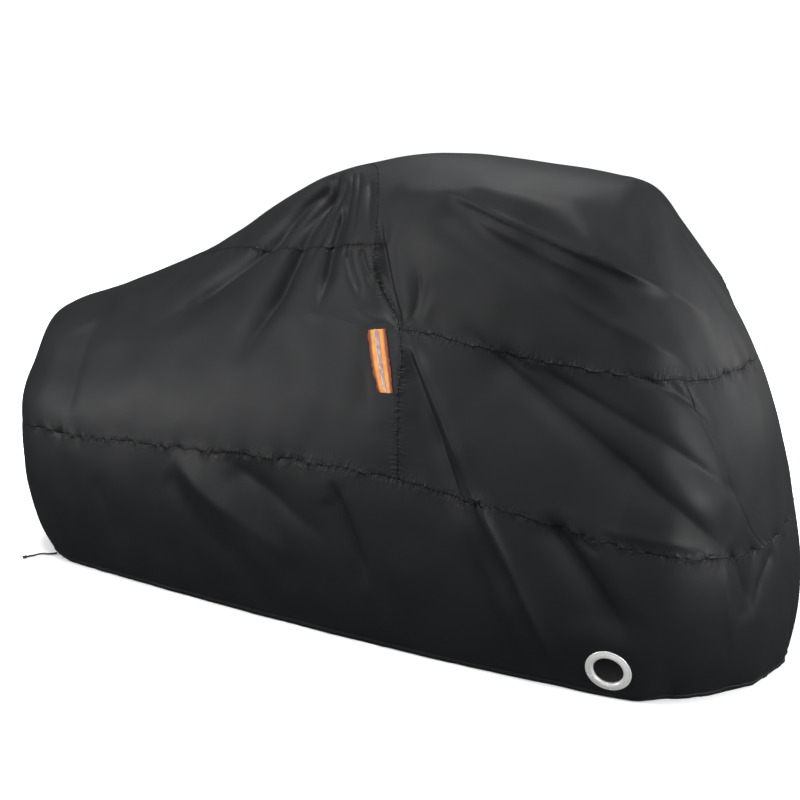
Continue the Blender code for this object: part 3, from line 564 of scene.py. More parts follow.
def grid_normals(points):
    """The unit normals of the grid's points, pointing out, and even across the ridge."""
    along = np.roll(points, -1, axis=0) - np.roll(points, 1, axis=0)
    normal = np.cross(along, np.gradient(points, axis=1))
    mirror = (-np.arange(ROUND)) % ROUND
    normal[:, RIDGE_ROW] = normal[:, RIDGE_ROW] + normal[mirror, RIDGE_ROW]
    return normal / np.maximum(np.linalg.norm(normal, axis=-1, keepdims=True), 1e-12)


AROUND, UP = whole_grid()
SKIN = place(AROUND, UP)
SKIN[:, RIDGE_ROW, 1] = 0
SKIN[:, 0, 2] = 0
SKIN_OUT = grid_normals(SKIN)
ALONG = arcs(np.concatenate([SKIN, SKIN[:1]]), axis=0)       # one column more, the first again
RISING = arcs(SKIN, axis=1)
RUN, HEIGHT = unrolled(AROUND, SKIN, UP)
FAR = AROUND > 1

# ---------------------------------------------------------------- creases and puckers in the cloth

# The main creases of each panel, finer than the folds and as uneven as pressed-in creases are: a line from
# (x0, z0) to (x1, z1) on the unrolled skin, bowed at its middle, with flanks as wide as width, which grows
# by spread.  The flank to the left of its way is lean times as wide, or with a lean below 0 the right one.
Crease = namedtuple("Crease", "name sides x0 z0 x1 z1 bow width spread rise lean")
CREASES = (
    # the tail half, fanned out from the top of the cross seam
    Crease("fan_top",         "both", -0.140, 1.090, -0.350, 0.835, +0.026, 0.014, 1.0, -0.0180, +2.0),
    Crease("fan_long",        "both", -0.230, 0.920, -0.630, 0.650, +0.010, 0.016, 1.0, -0.0200, +2.2),
    Crease("fan_long_upper",  "near", -0.125, 1.110, -0.235, 0.860, +0.019, 0.008, 1.2, -0.0090, +2.0),
    Crease("fan_steep",       "both", -0.135, 1.085, -0.270, 0.590, +0.013, 0.016, 1.0, -0.0240, +2.0),
    Crease("fan_steep_twin",  "near", -0.085, 1.065, -0.145, 0.815, +0.013, 0.008, 1.2, -0.0080, +2.0),
    Crease("fan_upright",     "both", -0.070, 0.980, -0.060, 0.715, -0.007, 0.011, 1.0, -0.0160, +2.0),
    Crease("apex_left",       "both", -0.080, 1.095, -0.050, 0.875, +0.011, 0.007, 1.2, -0.0050, -1.4),
    Crease("apex_middle",     "both", -0.060, 1.095, -0.005, 0.880, +0.010, 0.007, 1.2, -0.0050, -1.4),
    Crease("apex_right",      "near", -0.005, 1.050, +0.055, 0.880, -0.001, 0.007, 1.1, -0.0050, +1.6),
    Crease("fan_last",        "near", +0.020, 0.880, +0.085, 0.785, -0.002, 0.007, 1.0, -0.0080, +1.4),
    Crease("saddle_tuck",     "both", -0.020, 0.880, +0.070, 0.755, -0.009, 0.008, 1.0, -0.0080, +1.3),
    Crease("slack_over_tape", "near", -0.115, 0.730, +0.160, 0.710, -0.007, 0.009, 1.0, +0.0020, +1.4),
    Crease("tail_band",       "near", -0.860, 0.660, -0.800, 0.380, -0.004, 0.026, 1.0, -0.0050, +1.0),
    # where the cloth is pinched towards the foot of the hood
    Crease("pinch_channel",   "both", +0.180, 0.705, +0.070, 0.855, +0.009, 0.008, 1.9, -0.0150, +1.5),
    Crease("pinch_ridge",     "both", +0.180, 0.715, +0.075, 0.975, +0.009, 0.007, 1.5, +0.0060, +1.4),
    Crease("pinch_side",      "both", +0.180, 0.710, +0.055, 0.985, +0.013, 0.007, 1.5, -0.0090, +1.4),
    Crease("pinch_front",     "near", +0.190, 0.710, +0.190, 0.850, -0.019, 0.007, 1.2, -0.0045, +1.4),
    Crease("pinch_last",      "near", +0.195, 0.710, +0.235, 0.825, -0.015, 0.007, 1.3, -0.0025, +1.4),
    Crease("pinch_cross",     "near", +0.035, 0.745, +0.175, 0.710, -0.005, 0.008, 0.8, +0.0035, +1.4),
    # the hood
    Crease("hood_long",       "both", +0.205, 1.020, +1.050, 0.740, -0.015, 0.010, 1.1, +0.0130, +2.8),
    Crease("hood_second",     "near", +0.300, 0.955, +0.730, 0.780, +0.004, 0.013, 1.2, +0.0080, +2.2),
    Crease("hood_third",      "near", +0.490, 0.840, +0.915, 0.665, -0.023, 0.013, 1.2, +0.0065, +2.0),
    # the side under the hood
    Crease("spine_core",      "both", +0.190, 0.700, +0.540, 0.145, +0.022, 0.008, 1.2, +0.0120, +2.4),
    Crease("seam_triangle",   "both", +0.200, 0.675, +0.420, 0.305, +0.009, 0.006, 2.4, -0.0200, -3.8),
    Crease("side_crease",     "both", +0.310, 0.730, +1.030, 0.290, -0.001, 0.015, 1.2, -0.0180, -4.5),
    Crease("side_upper",      "both", +0.475, 0.665, +1.090, 0.390, +0.005, 0.011, 1.2, -0.0100, -3.5),
    Crease("dart_top",        "near", +0.670, 0.655, +0.965, 0.535, +0.022, 0.006, 1.0, -0.0050, +1.4),
    Crease("dart_foot",       "near", +0.790, 0.645, +0.950, 0.555, +0.000, 0.006, 1.0, -0.0035, +1.4),
    Crease("side_pull_b",     "near", +0.420, 0.685, +0.530, 0.630, -0.001, 0.008, 1.0, -0.0030, +1.4),
    # the skirt
    Crease("spine_foot",      "both", +0.405, 0.395, +0.600, 0.035, +0.019, 0.008, 1.2, +0.0120, +2.0),
    Crease("skirt_long",      "both", +0.560, 0.370, +0.765, 0.120, +0.010, 0.009, 1.2, -0.0130, -2.2),
    Crease("skirt_short",     "near", +0.630, 0.340, +0.690, 0.305, +0.000, 0.008, 1.0, -0.0035, +1.4),
    Crease("seam_lip",        "near", +0.665, 0.355, +0.930, 0.320, +0.006, 0.009, 1.0, +0.0050, +1.6),
    Crease("corner_v_left",   "near", +0.980, 0.330, +1.080, 0.160, +0.007, 0.010, 1.0, -0.0090, +1.4),
    Crease("corner_v_right",  "near", +1.195, 0.280, +1.070, 0.175, -0.017, 0.010, 1.0, -0.0080, +1.4),
    Crease("corner_pillar",   "near", +0.970, 0.320, +1.030, 0.085, -0.016, 0.016, 1.0, +0.0060, +1.4),
    Crease("tail_ridge",      "both", -0.435, 0.370, +0.035, 0.150, -0.011, 0.028, 1.2, +0.0090, +1.3),
    Crease("tail_hollow",     "near", -0.280, 0.390, +0.115, 0.200, +0.010, 0.028, 1.2, -0.0090, +1.3),
    Crease("tail_crease",     "near", +0.055, 0.375, +0.175, 0.135, +0.006, 0.009, 1.1, -0.0100, +1.6),
    Crease("tail_fall",       "near", -0.685, 0.295, -0.600, 0.060, -0.011, 0.026, 1.0, -0.0025, +1.3),
    # the side turned away
    Crease("far_slack",       "far",  -0.740, 0.650, -0.460, 0.420, +0.008, 0.013, 1.0, -0.0050, +1.6),
    Crease("far_fan",         "far",  -0.120, 0.980, -0.440, 0.660, +0.008, 0.012, 1.3, -0.0070, +1.5),
    Crease("far_hood",        "far",  +0.340, 0.930, +0.660, 0.800, +0.006, 0.013, 1.2, +0.0060, +2.4),
    Crease("far_hood_low",    "far",  +0.300, 0.780, +0.540, 0.680, +0.004, 0.012, 1.2, -0.0050, +2.0),
    Crease("far_side",        "far",  +0.460, 0.620, +0.840, 0.360, +0.010, 0.011, 1.2, -0.0060, +2.4),
    Crease("far_fall_front",  "far",  +0.180, 0.380, +0.320, 0.080, +0.010, 0.014, 1.2, -0.0050, +1.4),
    Crease("far_fall_middle", "far",  -0.080, 0.380, -0.220, 0.080, +0.010, 0.016, 1.2, -0.0050, +1.4),
    Crease("far_fall_tail",   "far",  -0.880, 0.360, -0.860, 0.100, +0.004, 0.018, 1.2, -0.0030, +1.4),
)
CREASE_WANDER, CREASE_STEP = 0.14, 0.090     # how far a crease strays, in its widths, and over what length
CREASE_UNEVEN = 0.22                         # the share by which its depth changes along it
CREASE_START, CREASE_END = 0.18, 0.40        # the share of its length over which it grows and dies away
DEPTH_PACE, DEPTH_START = 1.3, 7             # how fast its depth changes, beside its line, and from where
DEPTH_SEED = 500
CREASE_ROUND = 0.22                          # how round its edge is, in its widths

# Where a seam's thread has drawn the cloth in.  A window runs from start to end, as x on the unrolled skin
# along a level seam and as z along an upright one; the puckers are spacing apart, and fade over reach.
Pucker = namedtuple("Pucker", "seam start end rise spacing reach")
PUCKERS = (
    Pucker("skirt", -1.60, -0.72, 0.0053, 0.0120, 0.0117),
    Pucker("skirt", -0.74, -0.34, 0.0031, 0.0110, 0.0078),
    Pucker("skirt", -0.36, +0.06, 0.0049, 0.0120, 0.0117),
    Pucker("skirt", +0.04, +0.44, 0.0029, 0.0110, 0.0078),
    Pucker("skirt", +0.40, +0.88, 0.0043, 0.0115, 0.0104),
    Pucker("skirt", +0.84, +1.40, 0.0059, 0.0135, 0.0169),
    Pucker("belt", +0.15, +0.46, 0.0039, 0.0115, 0.0117),
    Pucker("belt", +0.44, +0.82, 0.0039, 0.0105, 0.0065),
    Pucker("belt", +0.78, +1.40, 0.0044, 0.0120, 0.0104),
    Pucker("saddle", -0.60, -0.27, 0.0043, 0.0110, 0.0104),
    Pucker("saddle", -0.29, +0.10, 0.0026, 0.0105, 0.0078),
    Pucker("saddle_end", +0.70, +1.30, 0.0022, 0.0110, 0.0060),
    Pucker("cross", +0.36, +0.62, 0.0010, 0.0100, 0.0050),
    Pucker("cross", +0.58, +1.05, 0.0030, 0.0100, 0.0070),
    Pucker("cross", +1.02, +1.30, 0.0016, 0.0100, 0.0050),
    Pucker("hem", -1.60, -0.80, 0.0070, 0.0150, 0.0260),
    Pucker("hem", -0.90, -0.36, 0.0036, 0.0130, 0.0180),
    Pucker("hem", -0.40, +0.78, 0.0020, 0.0120, 0.0120),
    Pucker("hem", +0.72, +1.40, 0.0070, 0.0150, 0.0300),
)
PUCKER_FADE = 0.05                    # a window opens and closes over this length
PUCKER_COARSE, COARSE_START = 2.7, 3   # farther from the seam the puckers run together, this much coarser
FINE_DEPTH, COARSE_DEPTH = 0.75, 0.65
FINE_FADE, COARSE_FADE = 1.5, 1.7     # fine puckers fade sooner than over their reach, coarse ones later
PUCKER_LEAN, LEAN_LENGTH = 0.25, 0.11        # how far they lean, for each metre from the seam, and over what
PUCKER_MEAN, PUCKER_SWING, SWING_LENGTH = 0.75, 0.35, 0.07     # how their depth changes along the seam
PUCKER_SEED, SEEDS_A_SEAM = 1000, 40
LEAN_SEED, COARSE_SEED, SWING_SEED = 9000, 300, 600

# A seam lies on a row or a column of the grid, over the columns or rows from first to last.
Seam = namedtuple("Seam", "name level line first last")
SEAMS = (
    Seam("hem", True, 0, 0, ROUND),
    Seam("skirt", True, SKIRT_ROW, 0, ROUND),
    Seam("belt", True, BELT_ROW, CROSS_COLUMN, ROUND - CROSS_COLUMN),
    Seam("saddle", True, SADDLE_ROW, SADDLE_COLUMN, CROSS_COLUMN),
    Seam("saddle", True, SADDLE_ROW, ROUND - CROSS_COLUMN, ROUND - SADDLE_COLUMN),
    Seam("saddle_end", False, SADDLE_COLUMN, SADDLE_ROW, RIDGE_ROW),
    Seam("saddle_end", False, ROUND - SADDLE_COLUMN, SADDLE_ROW, RIDGE_ROW),
    Seam("cross", False, CROSS_COLUMN, SKIRT_ROW, RIDGE_ROW),
    Seam("cross", False, ROUND - CROSS_COLUMN, SKIRT_ROW, RIDGE_ROW),
    Seam("corner", False, CORNER_COLUMN, SKIRT_ROW, BELT_ROW),
    Seam("corner", False, ROUND - CORNER_COLUMN, SKIRT_ROW, BELT_ROW),
    Seam("nose_middle", False, HALF, 0, SKIRT_ROW),
    Seam("tail_middle", False, 0, 0, SKIRT_ROW),
)
GROOVE, GROOVE_WIDTH = 0.0010, 0.0028        # a seam's own dip
SEAM_REACH = 0.010                           # the finest puckers fade over this length
UNPUCKERED = ("nose_middle", "tail_middle", "corner")
SEAM_STRAY, STRAY_REACH = 0.0034, 0.030      # how far a level seam strays, and how much cloth goes with it
STRAY_LENGTHS, STRAY_SEEDS = (0.028, 0.075), (80, 90)
STITCH_AT = 3                                # the stitches run this many of the grid's lines from a seam
STITCH_DIP, STITCH_WIDTH = 0.0006, 0.0014    # and the cloth dips under them
HEM_ROLL = 0.0022                            # the hem stands out round its elastic by this
HEM_ROLL_HEIGHT = 0.0130
HEM_STITCH_DIP = STITCH_DIP * 1.6
EDGE_RISE, EDGE_SHARE = 0.004, 0.35          # at the hem's edge the relief starts low, and grows over this
CRUMPLES, CRUMPLE_RISE = 14, 0.00028         # waves of slack all over, and how high each is
CRUMPLE_LENGTHS = (0.07, 0.30)
CRUMPLE_BEND, BEND_LENGTH, BEND_START = 0.6, 1.7, 40     # how far a wave bends, in its lengths, and over what
CRUMPLE_SEED, PHASE_SEEDS = 22, 1000
WAVE_VALUES = 1024                           # an uneven wave repeats after this many swings
FLAT_EDGE, FLAT_BLEND = 0.005, 0.022         # no crease or pucker comes this near the eyelet and the tape


def wobble(x, seed):
    """A smooth uneven wave between -1 and 1, with about one swing for each unit of x."""
    values = np.random.default_rng(seed).uniform(-1, 1, WAVE_VALUES)
    cell = np.floor(x).astype(int)
    before, after = values[cell % WAVE_VALUES], values[(cell + 1) % WAVE_VALUES]
    return before + (after - before) * ease(x - cell)


def along_seams(level):
    """How near each grid point is to a puckered seam that runs level, or upright: 1 on one, 0 far away."""
    nearest = np.zeros_like(RUN)
    for seam in SEAMS:
        if seam.level == level and seam.name not in UNPUCKERED:
            part = window(seam)
            nearest[part] = np.maximum(nearest[part], np.exp(-np.abs(seam_distance(seam)[0]) / SEAM_REACH))
    return nearest


def seam_stray():
    """How far the level seams, and the cloth beside them, stray up and down from a smooth line."""
    total = np.zeros_like(RUN)
    for number, row in enumerate((SKIRT_ROW, BELT_ROW)):
        swing = sum(wobble(ALONG[:-1, [row]] / length, seed + number)
                    for length, seed in zip(STRAY_LENGTHS, STRAY_SEEDS))
        total += SEAM_STRAY * swing * np.exp(-((RISING - RISING[:, [row]]) / STRAY_REACH) ** 2)
    return total


def crease_relief():
    """How far the creases move the cloth outwards."""
    total = np.zeros_like(RUN)
    for number, crease in enumerate(CREASES):
        share, aside, length = beside(crease, RUN, HEIGHT)
        travel = share * length / CREASE_STEP
        aside = aside + CREASE_WANDER * wobble(travel, number)
        aside = np.where(aside * crease.lean > 0, aside / abs(crease.lean), aside)
        shape = np.exp(CREASE_ROUND - np.hypot(aside, CREASE_ROUND))
        strength = 1 + CREASE_UNEVEN * wobble(travel * DEPTH_PACE + DEPTH_START, number + DEPTH_SEED)
        fade = ease(share / CREASE_START) * ease((1 - share) / CREASE_END)
        total += only_on(crease, FAR, crease.rise * shape * strength * fade)
    return total


def window(seam):
    """The part of the grid beside a seam, as slices of its columns and rows."""
    across = slice(seam.first, seam.last + 1)
    return (across, slice(None)) if seam.level else (slice(None), across)


def seam_distance(seam):
    """How far the grid's points beside a seam are from it, and how far along it they are."""
    part = window(seam)
    if seam.level:
        return RISING[part] - RISING[part][:, [seam.line]], ALONG[:-1][part][:, [seam.line]]
    reach = ALONG[:-1] - ALONG[[seam.line]]
    reach = np.where(reach > ALONG[-1] / 2, reach - ALONG[-1], reach)
    return reach[part], RISING[part][[seam.line]]


def pucker_relief():
    """How far the puckers beside the seams move the cloth outwards."""
    total = np.zeros_like(RUN)
    for order, seam in enumerate(SEAMS):
        part = window(seam)
        distance, along = seam_distance(seam)
        gap = np.abs(distance)
        place_along = RUN[part][:, [seam.line]] if seam.level else HEIGHT[part][[seam.line]]
        for number, pucker in enumerate(PUCKERS):
            if pucker.seam != seam.name:
                continue
            opening = ease((place_along - pucker.start) / PUCKER_FADE)
            opening = opening * ease((pucker.end - place_along) / PUCKER_FADE)
            seed = PUCKER_SEED + SEEDS_A_SEAM * order + number
            lean = along + PUCKER_LEAN * gap * wobble(along / LEAN_LENGTH, seed + LEAN_SEED)
            fine = wobble(lean / pucker.spacing, seed) * np.exp(-gap / pucker.reach * FINE_FADE)
            coarse = wobble(lean / pucker.spacing / PUCKER_COARSE + COARSE_START, seed + COARSE_SEED)
            coarse = coarse * np.exp(-gap / pucker.reach / COARSE_FADE)
            patchy = PUCKER_MEAN + PUCKER_SWING * wobble(along / SWING_LENGTH, seed + SWING_SEED)
            total[part] += pucker.rise * opening * patchy * (FINE_DEPTH * fine + COARSE_DEPTH * coarse)
    return total


def crumple_relief():
    """How far the slack, spread over all the cloth, moves it outwards."""
    draw = np.random.default_rng(CRUMPLE_SEED)
    total = np.zeros_like(RUN)
    for _ in range(CRUMPLES):
        length = draw.uniform(*CRUMPLE_LENGTHS)
        turn, phase = draw.uniform(0, math.tau, 2)
        ahead = (RUN * math.cos(turn) + HEIGHT * math.sin(turn)) / length
        aside = (RUN * math.sin(turn) - HEIGHT * math.cos(turn)) / length
        bend = CRUMPLE_BEND * wobble(aside / BEND_LENGTH + BEND_START, int(phase * PHASE_SEEDS))
        total += CRUMPLE_RISE * np.sin(math.tau * (ahead + bend) + phase)
    return total


def seam_relief():
    """The dip along each seam and under its stitches."""
    total = np.zeros_like(RUN)
    for seam in SEAMS:
        if seam.name == "hem":
            continue
        part = window(seam)
        gap = np.abs(seam_distance(seam)[0])
        total[part] -= GROOVE * np.exp(-(gap / GROOVE_WIDTH) ** 2)
        total[part] -= STITCH_DIP * np.exp(-((gap - CLOSE[STITCH_AT - 1]) / STITCH_WIDTH) ** 2)
    return total


def hem_relief():
    """The roll of the hem over its elastic, and the dip under its stitches."""
    share = np.clip(RISING / HEM_ROLL_HEIGHT, 0, 1)
    roll = HEM_ROLL * np.sqrt(np.clip(1 - (2 * share - 1) ** 2, 0, 1))
    return roll - HEM_STITCH_DIP * np.exp(-((RISING - RISING[:, [HEM_STITCH_ROW]]) / STITCH_WIDTH) ** 2)


def flat_share():
    """How freely the cloth creases: 0 under the eyelet and the tape, 1 away from them."""
    share = np.ones_like(RUN)
    for patch in (EYELET_PATCH, TAPE_PATCH):
        lifted, beyond = patch.measure(SKIN)
        free = ease((beyond - FLAT_EDGE) / FLAT_BLEND)
        share = np.where(FAR | (np.abs(lifted) > FLAT_REACH), share, share * free)
    return share


RELIEF = (crease_relief() + pucker_relief() + crumple_relief()) * flat_share() + seam_relief() + hem_relief()
RELIEF = RELIEF * ease(RISING / EDGE_RISE + EDGE_SHARE)
LEVEL_NEAR_HEM = np.stack([np.ones_like(RUN), np.ones_like(RUN), ease(SKIN[..., 2] / LEVEL_BELOW)], axis=-1)
OUTER = SKIN + SKIN_OUT * LEVEL_NEAR_HEM * (RELIEF + CLOTH / 2)[..., None]
RISING_WAY = np.gradient(SKIN, axis=1)
RISING_WAY /= np.maximum(np.linalg.norm(RISING_WAY, axis=-1, keepdims=True), 1e-9)
OUTER += RISING_WAY * (seam_stray() * flat_share())[..., None]
OUTER[..., 2] = np.maximum(OUTER[..., 2], 0)
OUTER[:, 0, 2] = 0
OUTER[:, RIDGE_ROW, 1] = 0
OUTER[HALF + 1:, RIDGE_ROW] = OUTER[HALF - 1:0:-1, RIDGE_ROW]
OUTER_OUT = grid_normals(OUTER)
LEVEL_SEAM, UPRIGHT_SEAM = along_seams(True), along_seams(False)
HEM_OUT = SKIN_OUT[:, len(HEM_HEIGHTS)] * [1, 1, 0]
HEM_OUT /= np.linalg.norm(HEM_OUT, axis=-1, keepdims=True)

# ---------------------------------------------------------------- the sewn panels

SEAM_BACK = 0.0004                    # each panel's edge lies this far back from the seam
# Inside a seam the cloth turns in: how far inwards from the edge and how deep each further line lies.
TURN_IN = ((0.0002, 0.0024), (0.0080, 0.0030))
# Inside the hem it turns up: how far in from the hem's line and how high.
TURN_UP = ((0.0032, 0.0004), (0.0034, 0.0120))
TURN_UV = 0.004                       # each further line lies this far on in the cloth's own metres
SHARPEST = 0.3                        # keeps a turned edge from running out too far at a sharp corner
CUT_R = CLOTH_HOLE_R + 0.0020         # the raw edge of the lock hole, under the eyelet's flange
HOLE_STEPS = 0.006                    # the cells that the hole leaves whole start within this of its edge
HOLE_DEEP = 0.1                       # the cells on the other side of the cover are farther off than this
ROWS = RIDGE_ROW + 1
PANELS = ("panel_tail", "panel_saddle", "panel_hood", "panel_side_near", "panel_side_far", "panel_nose",
          "skirt_near", "skirt_far")


def new_piece(name, data):
    """A piece of the scene made of this mesh."""
    piece = bpy.data.objects.new(name, data)
    bpy.context.collection.objects.link(piece)
    return piece


def smoothed(piece, degrees):
    """A piece shaded smooth, but for edges sharper than this."""
    bpy.ops.object.select_all(action="DESELECT")
    piece.select_set(True)
    bpy.context.view_layer.objects.active = piece
    bpy.ops.object.shade_smooth_by_angle(angle=math.radians(degrees))
    piece.select_set(False)
    return piece


def panel_names(columns, rows):
    """Which of PANELS each cell of the grid belongs to."""
    near = columns < HALF
    step = np.where(near, columns, ROUND - 1 - columns)
    back = step < CROSS_COLUMN
    name = np.where(back, np.where((rows >= SADDLE_ROW) & (step >= SADDLE_COLUMN), 1, 0),
                    np.where(rows >= BELT_ROW, 2, np.where(step >= CORNER_COLUMN, 5, np.where(near, 3, 4))))
    return np.where(rows < SKIRT_ROW, np.where(near, 6, 7), name)


def cells():
    """The corners (column, row) of the grid's cells, counter-clockwise seen from outside."""
    columns, rows = (part.ravel() for part in np.mgrid[0:HALF, 0:RIDGE_ROW])
    near = np.stack([[columns, rows], [columns + 1, rows], [columns + 1, rows + 1], [columns, rows + 1]])
    columns, rows = (part.ravel() for part in np.mgrid[HALF:ROUND, 0:RIDGE_ROW:FAR_ROWS])
    far = np.stack([[columns, rows], [columns + 1, rows], [columns + 1, rows + FAR_ROWS],
                    [columns, rows + FAR_ROWS]])
    near, far = near.transpose(2, 0, 1), far.transpose(2, 0, 1)
    first, last = far[far[:, 0, 0] == HALF], far[far[:, 0, 0] == ROUND - 1]
    inner = far[(far[:, 0, 0] > HALF) & (far[:, 0, 0] < ROUND - 1)]
    first = np.concatenate([first, first[:, :1] + [0, 1]], axis=1)
    last = np.concatenate([last[:, :2], last[:, 1:2] + [0, 1], last[:, 2:]], axis=1)
    return near, inner, first, last


def beyond_hole(faces):
    """The cells that the lock hole leaves whole."""
    middle = OUTER[faces[..., 0] % ROUND, faces[..., 1]].mean(axis=1) - EYELET_PATCH.middle
    outwards = middle @ EYELET_PATCH.out
    radius = np.linalg.norm(middle - outwards[:, None] * EYELET_PATCH.out, axis=1)
    return (radius > CUT_R) | (np.abs(outwards) > HOLE_DEEP)


def cloth_faces(number):
    """A panel's faces, as the grid points at their corners, and each corner's (column, row)."""
    faces, spots = [], []
    for group in cells():
        group = group[panel_names(group[:, 0, 0], group[:, 0, 1]) == number]
        if PANELS[number] == "skirt_near":
            group = group[beyond_hole(group)]
        columns, rows = group[..., 0], group[..., 1]
        columns = np.where((rows == RIDGE_ROW) & (columns > HALF), ROUND - columns, columns) % ROUND
        faces += (columns * ROWS + rows).tolist()
        spots += group.reshape(-1, 2).tolist()
    return faces, np.array(spots)


def cloth_metres(spots):
    """How far along and up the cloth each corner is."""
    columns, rows = spots.T
    metres = np.stack([ALONG[columns, rows], RISING[columns % ROUND, rows]], axis=1)
    metres[:, 0] -= np.where(columns > ROUND - CROSS_COLUMN, ALONG[-1, rows], 0)
    return metres


def rim_of(faces):
    """The open edges of some faces, as pairs of points."""
    edges = dict.fromkeys((a, b) for face in faces for a, b in zip(face, face[1:] + face[:1]))
    return [(a, b) for a, b in edges if (b, a) not in edges]


def round_hole(verts, rows, rim):
    """Moves the edge of the lock hole on to a circle.  Gives the rim without it."""
    flat = verts - EYELET_PATCH.middle
    flat = flat - (flat @ EYELET_PATCH.out)[:, None] * EYELET_PATCH.out
    radius = np.linalg.norm(flat, axis=1)
    hole = {vert for edge in rim for vert in edge if radius[vert] < CUT_R + HOLE_STEPS and rows[vert] > 0}
    for vert in hole:
        verts[vert] += flat[vert] * (CUT_R / radius[vert] - 1)
    return [(a, b) for a, b in rim if a not in hole]


def ways_in(verts, outs, rim):
    """For each point of the rim, the directions into the cloth from the open edges that meet there."""
    inward = {}
    for a, b in rim:
        side = np.cross((outs[a] + outs[b]) / 2, verts[b] - verts[a])
        side /= np.linalg.norm(side)
        for vert in (a, b):
            inward.setdefault(vert, []).append(side)
    return inward


def turn_edges(verts, outs, columns, rows, rim):
    """Moves the rim back from its seam.  Gives the points of the turned edge, and for each point of the rim
    the line of points that it turns through."""
    turned, lines = [], {}
    for vert, sides in ways_in(verts, outs, rim).items():
        if rows[vert] == 0:
            line = [verts[vert] - HEM_OUT[columns[vert]] * depth + [0, 0, lift] for depth, lift in TURN_UP]
        else:
            way = sum(sides) / max(1 + sides[0] @ sides[-1], SHARPEST)
            verts[vert] = verts[vert] + way * SEAM_BACK
            line = [verts[vert] + way * reach - outs[vert] * depth for reach, depth in TURN_IN]
        start = len(verts) + len(turned)
        lines[vert] = [vert, *range(start, start + len(line))]
        turned += line
    return np.array(turned), lines


def turned_faces(rim, lines, metres_at):
    """The faces of the turned edge, and the cloth's metres at their corners."""
    faces, metres = [], []
    for a, b in rim:
        pairs = list(zip(lines[a], lines[b]))
        for step, ((a0, b0), (a1, b1)) in enumerate(zip(pairs, pairs[1:])):
            faces.append([b0, a0, a1, b1])
            for vert, steps in ((b, step), (a, step), (a, step + 1), (b, step + 1)):
                metres.append([way + TURN_UV * steps for way in metres_at[vert]])
    return faces, metres


def make_panel(number):
    """A panel's cloth, its edges turned in at the seams and up inside the hem."""
    name = PANELS[number] + "_cloth"
    faces, spots = cloth_faces(number)
    keys, places = np.unique([key for face in faces for key in face], return_inverse=True)
    corner = iter(places.tolist())
    faces = [[next(corner) for _ in face] for face in faces]
    columns, rows = keys // ROWS, keys % ROWS
    verts, outs = OUTER[columns, rows], OUTER_OUT[columns, rows]
    rim = rim_of(faces)
    if PANELS[number] == "skirt_near":
        rim = round_hole(verts, rows, rim)
    metres = cloth_metres(spots)
    turned, lines = turn_edges(verts, outs, columns, rows, rim)
    verts = np.concatenate([verts, turned])
    verts[:, 2] = np.maximum(verts[:, 2], 0)
    more_faces, more_metres = turned_faces(rim, lines, dict(zip(places.tolist(), metres.tolist())))

    data = bpy.data.meshes.new(name)
    data.from_pydata(hung(verts).tolist(), [], faces + more_faces)
    for attribute, nearness in (("level_seam", LEVEL_SEAM), ("upright_seam", UPRIGHT_SEAM)):
        values = np.ones(len(verts))
        values[:len(keys)] = nearness[columns, rows]
        data.attributes.new(attribute, "FLOAT", "POINT").data.foreach_set("value", values)
    layer = data.uv_layers.new(name="cloth_metres")
    layer.data.foreach_set("uv", np.concatenate([metres, np.array(more_metres)]).ravel())
    data.update()
    return smoothed(new_piece(name, data), 60)


panels = {name: make_panel(number) for number, name in enumerate(PANELS)}

# ---------------------------------------------------------------- stitches

STITCH_LENGTH, STITCH_PITCH, STITCH_RADIUS = 0.0044, 0.0068, 0.00042
STITCH_SUNK = 0.00012                 # the thread lies this deep in the cloth
STITCH_WANDER = 0.08                  # how far a stitch is off its place, as a share of STITCH_PITCH
STITCH_DROP = 1.5                     # how far its ends dip, in its radius
STITCH_SEED = 3000


def one_stitch():
    """A thread's stitch along x: a round bar whose two ends dip into the cloth."""
    bpy.ops.mesh.primitive_cylinder_add(vertices=6, radius=1, depth=1, end_fill_type="NOTHING",
                                        rotation=(0, math.pi / 2, 0))
    bar = bpy.context.object
    bpy.ops.object.mode_set(mode="EDIT")
    bpy.ops.mesh.select_all(action="SELECT")
    bpy.ops.mesh.subdivide(number_cuts=1)
    bpy.ops.mesh.normals_make_consistent(inside=False)
    bpy.ops.object.mode_set(mode="OBJECT")
    bpy.ops.object.transform_apply(location=False, rotation=True, scale=True)
    spots = np.array([vert.co for vert in bar.data.vertices])
    corners = [list(face.vertices) for face in bar.data.polygons]
    bpy.data.objects.remove(bar)
    return spots, corners


def stitch_lines():
    """The grid lines, as points and normals, that the stitches follow."""
    for seam in SEAMS:
        part = np.arange(seam.first, seam.last + 1)
        hem = seam.name == "hem"
        for line in (HEM_STITCH_ROW,) if hem else (seam.line - STITCH_AT, seam.line + STITCH_AT):
            if seam.level:
                yield OUTER[part % ROUND, line], OUTER_OUT[part % ROUND, line]
            else:
                yield OUTER[line % ROUND, part], OUTER_OUT[line % ROUND, part]


def read_at(where, along, rows):
    """Points or directions that are given along a line, read at places on it."""
    return np.stack([np.interp(where, along, rows[:, axis]) for axis in range(3)], axis=-1)


